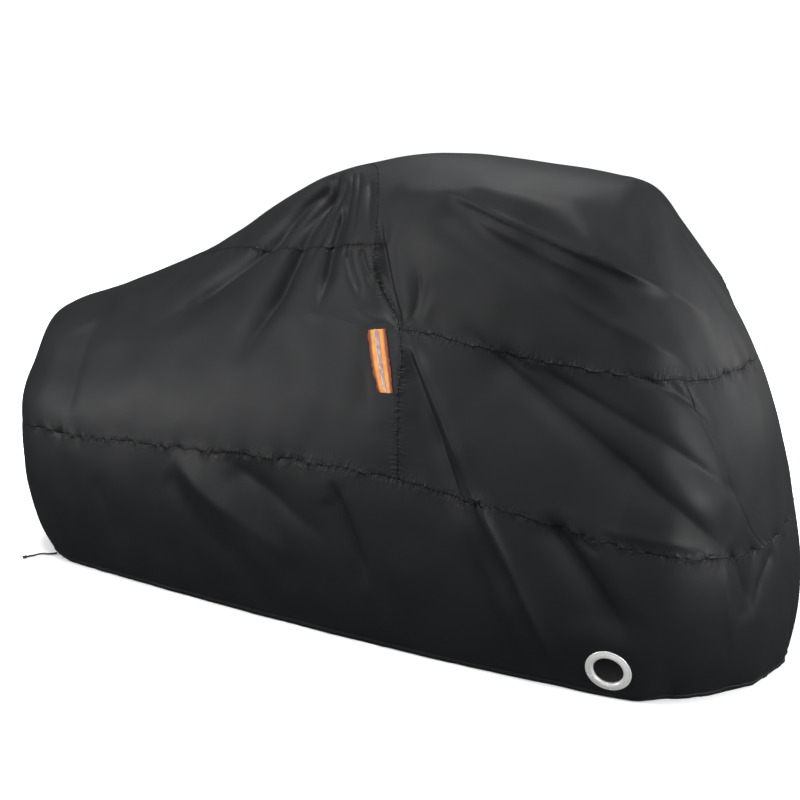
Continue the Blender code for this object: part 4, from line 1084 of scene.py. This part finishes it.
def make_stitches():
    """All the stitches, as one piece."""
    bar, corners = one_stitch()
    dip = np.abs(bar[:, 0] * 2) ** 2 * STITCH_RADIUS * STITCH_DROP
    stitch = np.stack([bar[:, 0] * STITCH_LENGTH, bar[:, 1] * STITCH_RADIUS,
                       bar[:, 2] * STITCH_RADIUS - dip + STITCH_RADIUS - STITCH_SUNK], axis=-1)
    verts, faces = [], []
    for number, (points, outs) in enumerate(stitch_lines()):
        along = np.concatenate([[0], np.cumsum(np.linalg.norm(np.diff(points, axis=0), axis=1))])
        draw = np.random.default_rng(STITCH_SEED + number)
        starts = np.arange(STITCH_PITCH, along[-1] - STITCH_PITCH, STITCH_PITCH)
        starts = starts + draw.uniform(-1, 1, len(starts)) * STITCH_PITCH * STITCH_WANDER
        heads, feet = read_at(starts, along, points), read_at(starts + STITCH_LENGTH, along, points)
        out = read_at(starts + STITCH_LENGTH / 2, along, outs)
        way = feet - heads
        way /= np.linalg.norm(way, axis=1, keepdims=True)
        side = np.cross(out, way)
        side /= np.linalg.norm(side, axis=1, keepdims=True)
        out = np.cross(way, side)
        for middle, *axes in zip((heads + feet) / 2, way, side, out):
            faces += [[corner + len(verts) * len(stitch) for corner in face] for face in corners]
            verts.append(middle + stitch @ np.stack(axes))
    data = bpy.data.meshes.new("stitches")
    data.from_pydata(hung(np.concatenate(verts)).tolist(), [], faces)
    data.update()
    return smoothed(new_piece("seam_stitches", data), 80)


stitches = make_stitches()

# ---------------------------------------------------------------- the lock eyelet

EYELET_STEPS = 96
CLOTH_FACE = CLOTH / 2
TRIM_GAP = 0.0003                     # between the cloth and the eyelet's flanges, or the tape
EYELET_FACE, EYELET_INSIDE = CLOTH_FACE + TRIM_GAP + EYELET_FRONT, -(CLOTH_FACE + TRIM_GAP + EYELET_BACK)
# The ring's section as (radius, height off the cloth's middle), from the flange's edge over its face, down
# the barrel, out along the flange inside and back up through the cloth's hole.
EYELET_SECTION = (
    (EYELET_OUTER_R - 0.0004, CLOTH_FACE - 0.0003), (EYELET_OUTER_R, CLOTH_FACE + 0.0006),
    (EYELET_OUTER_R, CLOTH_FACE + 0.0012), (EYELET_OUTER_R - 0.0005, CLOTH_FACE + 0.0018),
    (EYELET_OUTER_R - 0.0016, CLOTH_FACE + 0.0023), (EYELET_OUTER_R - 0.0030, CLOTH_FACE + 0.0026),
    (EYELET_OUTER_R - 0.0040, EYELET_FACE - 0.0015), (EYELET_OUTER_R - 0.0044, EYELET_FACE - 0.0017),
    (EYELET_OUTER_R - 0.0048, EYELET_FACE - 0.0014), (EYELET_OUTER_R - 0.0060, EYELET_FACE - 0.0009),
    (EYELET_OUTER_R - 0.0078, EYELET_FACE - 0.0004), (EYELET_OUTER_R - 0.0098, EYELET_FACE - 0.0001),
    (EYELET_INNER_R + 0.0046, EYELET_FACE), (EYELET_INNER_R + 0.0034, EYELET_FACE - 0.0001),
    (EYELET_INNER_R + 0.0022, EYELET_FACE - 0.0005), (EYELET_INNER_R + 0.0012, EYELET_FACE - 0.0012),
    (EYELET_INNER_R + 0.0005, EYELET_FACE - 0.0021), (EYELET_INNER_R + 0.0001, EYELET_FACE - 0.0031),
    (EYELET_INNER_R, EYELET_FACE - 0.0040), (EYELET_INNER_R, EYELET_INSIDE + 0.0010),
    (EYELET_INNER_R + 0.0004, EYELET_INSIDE + 0.0003), (EYELET_INNER_R + 0.0012, EYELET_INSIDE),
    (EYELET_OUTER_R - 0.0050, EYELET_INSIDE), (EYELET_OUTER_R - 0.0037, EYELET_INSIDE + 0.0010),
    (EYELET_OUTER_R - 0.0040, EYELET_INSIDE + 0.0016), (CLOTH_HOLE_R - 0.0003, -CLOTH_FACE - 0.0002),
    (CLOTH_HOLE_R - 0.0003, CLOTH_FACE - 0.0003),
)


def ring_of(name, section, steps):
    """A turned ring: a circle extruded and resized from line to line of its section."""
    radius, height = section[0]
    bpy.ops.mesh.primitive_circle_add(vertices=steps, radius=radius, location=(0, 0, height))
    ring = bpy.context.object
    ring.name = ring.data.name = name
    bpy.ops.object.transform_apply(location=True, rotation=False, scale=False)
    bpy.ops.object.mode_set(mode="EDIT")
    bpy.ops.mesh.select_all(action="SELECT")
    for next_radius, next_height in (*section[1:], section[0]):
        bpy.ops.mesh.extrude_region_move(TRANSFORM_OT_translate={"value": (0, 0, next_height - height)})
        share = next_radius / radius
        bpy.ops.transform.resize(value=(share, share, 1), center_override=(0, 0, 0))
        radius, height = next_radius, next_height
    bpy.ops.mesh.select_all(action="SELECT")
    bpy.ops.mesh.remove_doubles(threshold=0.00002)
    bpy.ops.mesh.normals_make_consistent(inside=False)
    bpy.ops.object.mode_set(mode="OBJECT")
    ring.select_set(False)
    return ring


def patch_matrix(patch, lift):
    """A patch's frame within the model's own."""
    return Matrix.Translation(-Vector(SUPPORT)) @ patch.matrix(lift)


eyelet = ring_of("lock_eyelet_ring", EYELET_SECTION, EYELET_STEPS)
eyelet.data.transform(patch_matrix(EYELET_PATCH, 0))
smoothed(eyelet, 50)

# ---------------------------------------------------------------- the reflective tape

TAPE_LIFT = CLOTH_FACE + TRIM_GAP
TAPE_CELLS, STRIPE_CELLS = (20, 64), (6, 64)
TAPE_BOW = -0.0025                    # its middle lies this far to the left of its ends
TAPE_SLANT = 0.006                    # its ends are cut level, so across the leaning tape they slant
TAPE_FOOT, FOOT_POWER = 0.74, 1.5     # its foot has curled over, down to this share of its width
TAPE_TRIM, STRIPE_TRIM = 0.002, 0.004       # off the tape's woven width, and off the stripe's length
TAPE_STRAY, STRIPE_STRAY = 0.0016, 0.0004   # how far their edges stray
TAPE_WAVE = 0.0008                    # how high the tape stands where it ripples between its seams
RIPPLE_DEPTH, SWELL_DEPTH, WAVE_LIFT = 0.9, 0.8, 1.7
RIPPLE_LENGTH, SWELL_LENGTH, WAVE_START = 0.009, 0.021, 40
RIPPLE_SEEDS, SWELL_SEEDS = (72, 71), (73, 74)     # for the left half and the right


def tape_width(along):
    """The tape's width, as a share, at a place along it from -1 at its foot to 1 at its head."""
    return 1 + (TAPE_FOOT - 1) * max(-along, 0) ** FOOT_POWER


def tape_middle(along):
    """How far to the right the tape's middle lies at a place along it."""
    return TAPE_BOW * (0.5 - along ** 2)


def make_band(name, width, length, band_cells, thick, lift, stray):
    """A woven band on the cloth: a grid, bowed, with rippled edges, and then given its thickness."""
    bpy.ops.mesh.primitive_grid_add(x_subdivisions=band_cells[0], y_subdivisions=band_cells[1], size=1)
    band = bpy.context.object
    band.name = band.data.name = name
    for vert in band.data.vertices:
        across, along = vert.co.x * 2, vert.co.y * 2
        right, travel = across > 0, np.array(along * length / 2)
        ripple = float(wobble(travel / RIPPLE_LENGTH + WAVE_START, RIPPLE_SEEDS[right]))
        swell = float(wobble(travel / SWELL_LENGTH + WAVE_START, SWELL_SEEDS[right]))
        ripple_here = ripple * across ** 4
        x = across * width / 2 * tape_width(along) + tape_middle(along)
        x += stray * ripple_here * (1 if right else -1)
        z = TAPE_WAVE / 2 * (RIPPLE_DEPTH * ripple_here + SWELL_DEPTH * swell + WAVE_LIFT)
        vert.co = (x, vert.co.y * length - across * TAPE_SLANT, z)
    thickness = band.modifiers.new("thickness", "SOLIDIFY")
    thickness.thickness, thickness.offset = thick, 1
    rounding = band.modifiers.new("rounded edges", "BEVEL")
    rounding.width, rounding.segments, rounding.limit_method = thick * 0.3, 2, "ANGLE"
    for modifier in ("thickness", "rounded edges"):
        bpy.ops.object.modifier_apply(modifier=modifier)
    shade = band.data.attributes.new("edge_nearness", "FLOAT", "POINT")
    shade.data.foreach_set("value", [abs(band_across(vert.co, width, length)) for vert in band.data.vertices])
    band.data.transform(patch_matrix(TAPE_PATCH, lift))
    band.select_set(False)
    return smoothed(band, 40)


def band_across(spot, width, length):
    """How far across a bowed band a point is: 0 in its middle, 1 at its edge."""
    along = spot.y / length * 2
    return (spot.x - tape_middle(along)) / (width / 2 * tape_width(along))


tape = make_band("reflective_tape_band", TAPE_WIDTH - TAPE_TRIM, TAPE_LENGTH, TAPE_CELLS, TAPE_THICK,
                 TAPE_LIFT, TAPE_STRAY)
stripe = make_band("tape_silver_stripe", STRIPE_WIDTH, TAPE_LENGTH - STRIPE_TRIM, STRIPE_CELLS, STRIPE_THICK,
                   TAPE_LIFT + TAPE_THICK, STRIPE_STRAY)

# ---------------------------------------------------------------- materials

def linear(code):
    """A colour written #rrggbb, as the linear numbers that a shader takes."""
    parts = [int(code[place_in:place_in + 2], 16) / 255 for place_in in (1, 3, 5)]
    return (*(x / 12.92 if x <= 0.04045 else ((x + 0.055) / 1.055) ** 2.4 for x in parts), 1.0)


def new_material(name):
    """A material, its nodes and its shader."""
    material = bpy.data.materials.new(name)
    material.use_nodes = True
    return material, material.node_tree, material.node_tree.nodes["Principled BSDF"]


def add(tree, kind, links=(), stops=(), **settings):
    """Adds a node.  A link is (input, node, output), a stop of a colour ramp is (place, colour), and a
    setting is a property or an input's value."""
    node = tree.nodes.new("ShaderNode" + kind)
    for key, value in settings.items():
        if hasattr(node, key):
            setattr(node, key, value)
        else:
            node.inputs[key.replace("_", " ")].default_value = value
    for put, source, out in links:
        tree.links.new(source.outputs[out], node.inputs[put])
    if stops:
        for element, (spot, colour) in zip(node.color_ramp.elements, stops):
            element.position, element.color = spot, colour
    return node


def grey(value):
    """A plain grey, as a shader takes it."""
    return (value, value, value, 1.0)


def bands_apart(spacing):
    """The scale at which a wave texture's bands lie this far apart."""
    return math.tau / 20 / spacing


# Polyester taffeta, dyed black and coated with polyurethane on its inside: a close plain weave with a low
# satin sheen, dustier on its crests.  The real threads are 0.12 mm apart; they are drawn ten times as
# coarse, so that the cloth still looks woven from a distance.  Along the seams the thread has gathered it
# into fine puckers, about 7 mm apart and 18 mm long, which run across the seam.
THREAD = 0.0012
PUCKERS_ALONG, PUCKERS_ACROSS = 140.0, 55.0        # for each metre along a seam, and away from it
coated_taffeta, tree, shader = new_material("coated_polyester_taffeta")
metres = add(tree, "UVMap", uv_map="cloth_metres")
clouds = add(tree, "TexNoise", [("Vector", metres, "UV")], Scale=7.0, Detail=4.0, Roughness=0.6)
grain = add(tree, "TexNoise", [("Vector", metres, "UV")], Scale=420.0, Detail=3.0, Roughness=0.7)
warp, weft = [add(tree, "TexWave", [("Vector", metres, "UV")], wave_type="BANDS", bands_direction=way,
                  wave_profile="SIN", Scale=bands_apart(THREAD), Distortion=0.6, Detail_Scale=3.0)
              for way in "XY"]
weave = add(tree, "Math", [(0, warp, "Fac"), (1, weft, "Fac")], operation="MULTIPLY")
fabric = add(tree, "Math", [(0, weave, "Value"), (1, grain, "Fac")], operation="ADD")
gathers = []
for seam_name, stretch in (("level_seam", (PUCKERS_ALONG, PUCKERS_ACROSS, 1)),
                           ("upright_seam", (PUCKERS_ACROSS, PUCKERS_ALONG, 1))):
    nearness = add(tree, "Attribute", attribute_name=seam_name)
    across = add(tree, "Mapping", [("Vector", metres, "UV")], Scale=stretch)
    pucker = add(tree, "TexNoise", [("Vector", across, "Vector")], Scale=1.0, Detail=1.5, Roughness=0.5)
    gathers.append(add(tree, "Math", [(0, nearness, "Fac"), (1, pucker, "Fac")], operation="MULTIPLY"))
gathered = add(tree, "Math", [(0, gathers[0], "Value"), (1, gathers[1], "Value")], operation="MAXIMUM")
tint = add(tree, "ValToRGB", [("Fac", clouds, "Fac")],
           ((0.30, linear("#151617")), (0.70, linear("#191a1c"))))
dust = add(tree, "MixRGB", [("Color1", tint, "Color"), ("Fac", weave, "Value")], blend_type="MIX",
           Color2=linear("#1f2022"))
# Painted shade: in the puckers along the seams the cloth's colour is darkened towards near black, where the
# gathers shade themselves.
shadow = add(tree, "ValToRGB", [("Fac", gathered, "Value")],
             ((0.22, grey(0.0)), (0.62, grey(0.45))))
cloth_colour = add(tree, "MixRGB", [("Color1", dust, "Color"), ("Fac", shadow, "Color")], blend_type="MIX",
                   Color2=linear("#050506"))
sheen = add(tree, "ValToRGB", [("Fac", clouds, "Fac")],
            ((0.25, grey(0.46)), (0.75, grey(0.56))))
puckered = add(tree, "Bump", [("Height", gathered, "Value")], Strength=1.0, Distance=0.0050)
bump = add(tree, "Bump", [("Height", fabric, "Value"), ("Normal", puckered, "Normal")], Strength=0.10,
           Distance=0.0004)
for put, source, out in (("Base Color", cloth_colour, "Color"), ("Roughness", sheen, "Color"),
                         ("Normal", bump, "Normal")):
    tree.links.new(source.outputs[out], shader.inputs[put])
shader.inputs["IOR"].default_value = 1.5
shader.inputs["Specular IOR Level"].default_value = 0.16

# Polyester sewing thread, black, twisted: a shade glossier than the cloth it is sunk in.
sewing_thread, tree, shader = new_material("polyester_sewing_thread")
spot = add(tree, "TexCoord")
twist = add(tree, "TexNoise", [("Vector", spot, "Object")], Scale=900.0, Detail=2.0)
tone = add(tree, "ValToRGB", [("Fac", twist, "Fac")],
           ((0.35, linear("#0f0f10")), (0.65, linear("#1d1e20"))))
bump = add(tree, "Bump", [("Height", twist, "Fac")], Strength=0.3, Distance=0.0002)
tree.links.new(tone.outputs["Color"], shader.inputs["Base Color"])
tree.links.new(bump.outputs["Normal"], shader.inputs["Normal"])
shader.inputs["Roughness"].default_value = 0.62
shader.inputs["Specular IOR Level"].default_value = 0.25

# Brass, stamped and nickel-plated: bright with fine turning marks, and slightly hazed where fingers and locks
# have
# rubbed it.  It is only partly metallic: the plain diffuse share of its near-white colour is painted
# reflection, standing in for the bright room that the plate would mirror.
nickel_plate, tree, shader = new_material("nickel_plated_brass")
spot = add(tree, "TexCoord")
haze = add(tree, "TexNoise", [("Vector", spot, "Object")], Scale=60.0, Detail=5.0, Roughness=0.65)
scratches = add(tree, "TexNoise", [("Vector", spot, "Object")], Scale=1400.0, Detail=2.0)
tone = add(tree, "ValToRGB", [("Fac", haze, "Fac")],
           ((0.30, linear("#e2e2df")), (0.70, linear("#f4f4f1"))))
polish = add(tree, "ValToRGB", [("Fac", haze, "Fac")],
             ((0.30, grey(0.17)), (0.75, grey(0.30))))
bump = add(tree, "Bump", [("Height", scratches, "Fac")], Strength=0.06, Distance=0.0001)
for put, source, out in (("Base Color", tone, "Color"), ("Roughness", polish, "Color"),
                         ("Normal", bump, "Normal")):
    tree.links.new(source.outputs[out], shader.inputs[put])
# Painted reflection: at this metallic share a white diffuse colour stands in for the mirrored room.
shader.inputs["Metallic"].default_value = 0.4

# Polyester warning tape, woven and dyed a fluorescent orange: flat colour with fine cross ribs 0.8 mm apart.
RIB = 0.0008
orange_weave, tree, shader = new_material("fluorescent_polyester_tape")
spot = add(tree, "TexCoord")
leant = add(tree, "Mapping", [("Vector", spot, "Object")], Rotation=(0, -TAPE_LEAN, 0))
ribs = add(tree, "TexWave", [("Vector", leant, "Vector")], wave_type="BANDS", bands_direction="Z",
           Scale=bands_apart(RIB), Distortion=0.4)
wear = add(tree, "TexNoise", [("Vector", spot, "Object")], Scale=45.0, Detail=5.0)
tone = add(tree, "ValToRGB", [("Fac", wear, "Fac")],
           ((0.30, linear("#bf6f17")), (0.70, linear("#e2922f"))))
# The colour darkens to a deep brown towards the tape's edges.
edge_nearness = add(tree, "Attribute", attribute_name="edge_nearness")
edge_darkening = add(tree, "ValToRGB", [("Fac", edge_nearness, "Fac")],
             ((0.55, grey(0.0)), (0.82, grey(1.0))))
shaded = add(tree, "MixRGB", [("Color1", tone, "Color"), ("Fac", edge_darkening, "Color")], blend_type="MIX",
             Color2=linear("#6a240a"))
bump = add(tree, "Bump", [("Height", ribs, "Fac")], Strength=0.35, Distance=0.0003)
tree.links.new(shaded.outputs["Color"], shader.inputs["Base Color"])
tree.links.new(bump.outputs["Normal"], shader.inputs["Normal"])
shader.inputs["Roughness"].default_value = 0.62

# Retroreflective film of glass beads on the tape: grey and slightly pearly in plain light, with fine grains.
bead_film, tree, shader = new_material("glass_bead_film")
spot = add(tree, "TexCoord")
beads = add(tree, "TexVoronoi", [("Vector", spot, "Object")], Scale=1600.0)
soil = add(tree, "TexNoise", [("Vector", spot, "Object")], Scale=70.0, Detail=4.0)
tone = add(tree, "ValToRGB", [("Fac", soil, "Fac")],
           ((0.32, linear("#6f6368")), (0.70, linear("#94888c"))))
bump = add(tree, "Bump", [("Height", beads, "Distance")], Strength=0.25, Distance=0.0002)
tree.links.new(tone.outputs["Color"], shader.inputs["Base Color"])
tree.links.new(bump.outputs["Normal"], shader.inputs["Normal"])
shader.inputs["Roughness"].default_value = 0.36
shader.inputs["Metallic"].default_value = 0.25

# Polyester cord, braided from eight black strands: diamond ribs 1.6 mm apart, matt and a little fuzzy.
BRAID = 0.0016
braid, tree, shader = new_material("braided_polyester_cord")
spot = add(tree, "TexCoord")
strands = [add(tree, "TexWave", [("Vector", add(tree, "Mapping", [("Vector", spot, "Object")],
                                                Rotation=(0.6, 0.5, turn)), "Vector")],
               wave_type="BANDS", bands_direction="X", Scale=bands_apart(BRAID)) for turn in (0.5, 2.1)]
ribs = add(tree, "Math", [(0, strands[0], "Fac"), (1, strands[1], "Fac")], operation="MAXIMUM")
fuzz = add(tree, "TexNoise", [("Vector", spot, "Object")], Scale=1500.0, Detail=3.0)
tone = add(tree, "ValToRGB", [("Fac", fuzz, "Fac")],
           ((0.30, linear("#141416")), (0.75, linear("#2a2a2d"))))
bump = add(tree, "Bump", [("Height", ribs, "Value")], Strength=0.6, Distance=0.0005)
tree.links.new(tone.outputs["Color"], shader.inputs["Base Color"])
tree.links.new(bump.outputs["Normal"], shader.inputs["Normal"])
shader.inputs["Roughness"].default_value = 0.72
shader.inputs["Sheen Weight"].default_value = 0.25


def finish_with(piece, material):
    """Gives a piece its material and its body."""
    piece.data.materials.clear()
    piece.data.materials.append(material)
    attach(piece, "root")


for panel in panels.values():
    finish_with(panel, coated_taffeta)
finish_with(stitches, sewing_thread)
finish_with(eyelet, nickel_plate)
finish_with(tape, orange_weave)
finish_with(stripe, bead_film)
finish_with(cord, braid)
finish_with(knot, braid)

# ---------------------------------------------------------------- the panels as cut, and the model's own parts hidden

# Each panel as it was cut: width, length and area of the flat piece, in metres, and what it hangs from.
Cut = namedtuple("Cut", "panel width length area hangs_from")
CUTS = (
    Cut("panel_tail", 0.78, 3.10, 1.60, ("panel_saddle",)),
    Cut("panel_saddle", 0.66, 0.75, 0.29, ()),
    Cut("panel_hood", 1.05, 1.35, 0.97, ()),
    Cut("panel_side_near", 0.40, 0.82, 0.27, ("panel_hood",)),
    Cut("panel_side_far", 0.40, 0.82, 0.27, ("panel_hood",)),
    Cut("panel_nose", 0.36, 0.66, 0.18, ("panel_hood",)),
    Cut("skirt_near", 0.41, 2.75, 1.05, ("panel_tail", "panel_side_near", "panel_nose")),
    Cut("skirt_far", 0.41, 2.75, 1.05, ("panel_tail", "panel_side_far", "panel_nose")),
)
for cut in CUTS:
    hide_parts(cut.panel)
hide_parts("lock_eyelet")
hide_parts("reflective_tape")
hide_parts("tape_stripe")
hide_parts("drawcord")
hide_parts("drawcord_knot")

# ---------------------------------------------------------------- studio

FLOOR_SIDE, FLOOR_GAP = 24.0, 0.0005
FLOOR_GLOW, GLOW_FROM, GLOW_TO = 0.60, 0.70, 2.40     # it grows from none to this between these distances
GLOW_SHAPE = (0.55, 1.0, 0.0)                         # long like the cover, and the same at every height
bpy.ops.mesh.primitive_plane_add(size=FLOOR_SIDE, location=(0, 0, -SUPPORT[2] - FLOOR_GAP))
floor = bpy.context.object
floor.name = floor.data.name = "studio_floor"
bpy.ops.object.transform_apply(location=True, rotation=False, scale=False)
floor.select_set(False)
floor.visible_glossy = floor.visible_diffuse = False      # the bright floor isn't thrown back on the cloth

# Matt painted board: an even white that takes a soft shadow.  It glows only away from the cover, so that the
# space under the cover stays dark.
painted_board, tree, shader = new_material("matt_painted_board")
spot = add(tree, "TexCoord")
brushed = add(tree, "TexNoise", [("Vector", spot, "Object")], Scale=3.0, Detail=3.0)
tone = add(tree, "ValToRGB", [("Fac", brushed, "Fac")],
           ((0.30, linear("#fafafa")), (0.70, linear("#fefefe"))))
tree.links.new(tone.outputs["Color"], shader.inputs["Base Color"])
shader.inputs["Roughness"].default_value = 0.9
spread = add(tree, "Mapping", [("Vector", spot, "Object")], Scale=GLOW_SHAPE)
away = add(tree, "VectorMath", [("Vector", spread, "Vector")], operation="LENGTH")
glow = add(tree, "MapRange", [("Value", away, "Value")], From_Min=GLOW_FROM, From_Max=GLOW_TO,
           To_Max=FLOOR_GLOW)
shader.inputs["Emission Color"].default_value = linear("#ffffff")
tree.links.new(glow.outputs["Result"], shader.inputs["Emission Strength"])
floor.data.materials.append(painted_board)


def softbox(name, spot, aim, size, power):
    """A white softbox of this width, height and power in watts."""
    lamp = bpy.data.lights.new(name, "AREA")
    lamp.shape, lamp.size, lamp.size_y = "RECTANGLE", *size
    lamp.energy = power
    box = bpy.data.objects.new(name, lamp)
    box.location = spot
    box.rotation_euler = (Vector(aim) - Vector(spot)).to_track_quat("-Z", "Y").to_euler()
    bpy.context.collection.objects.link(box)


softbox("nose_softbox", (3.2, 3.2, 0.6), (0.8, -0.1, -0.5), (1.6, 1.6), 50)
softbox("right_softbox", (2.7, -0.7, 0.0), (1.0, -0.1, -0.6), (1.0, 1.0), 60)
softbox("top_softbox", (-0.2, 1.6, 3.1), (0.1, 0.0, -0.2), (3.4, 2.0), 72)
softbox("upper_softbox", (-0.7, -1.0, 3.4), (-0.2, -0.2, -0.4), (3.0, 0.9), 160)
softbox("left_softbox", (-3.6, -3.0, 0.9), (-0.6, 0.0, -0.8), (2.4, 1.8), 125)

# The room is pale: white where the camera sees it, brighter from above than from the floor,
# and dim where the cloth mirrors it.
ROOM_SEEN, ROOM_ABOVE, ROOM_BELOW, ROOM_MIRRORED = 1.1, 1.05, 0.42, 0.06
world = bpy.data.worlds.new("pale_room")
bpy.context.scene.world = world
world.use_nodes = True
tree = world.node_tree
seen = add(tree, "LightPath")
way = add(tree, "SeparateXYZ", [("Vector", add(tree, "TexCoord"), "Generated")])
falling = add(tree, "MapRange", [("Value", way, "Z")], From_Min=-0.45, From_Max=0.55, To_Min=ROOM_BELOW,
              To_Max=ROOM_ABOVE)
mirrored = add(tree, "MapRange", [("Value", seen, "Is Glossy Ray"), ("To Min", falling, "Result")],
               To_Max=ROOM_MIRRORED)
backdrop = tree.nodes["Background"]
backdrop.inputs["Color"].default_value = (1, 1, 1, 1)
strength = add(tree, "MapRange", [("Value", seen, "Is Camera Ray"), ("To Min", mirrored, "Result")],
               To_Max=ROOM_SEEN)
tree.links.new(strength.outputs["Result"], backdrop.inputs["Strength"])
bpy.context.scene.view_settings.view_transform = "Standard"
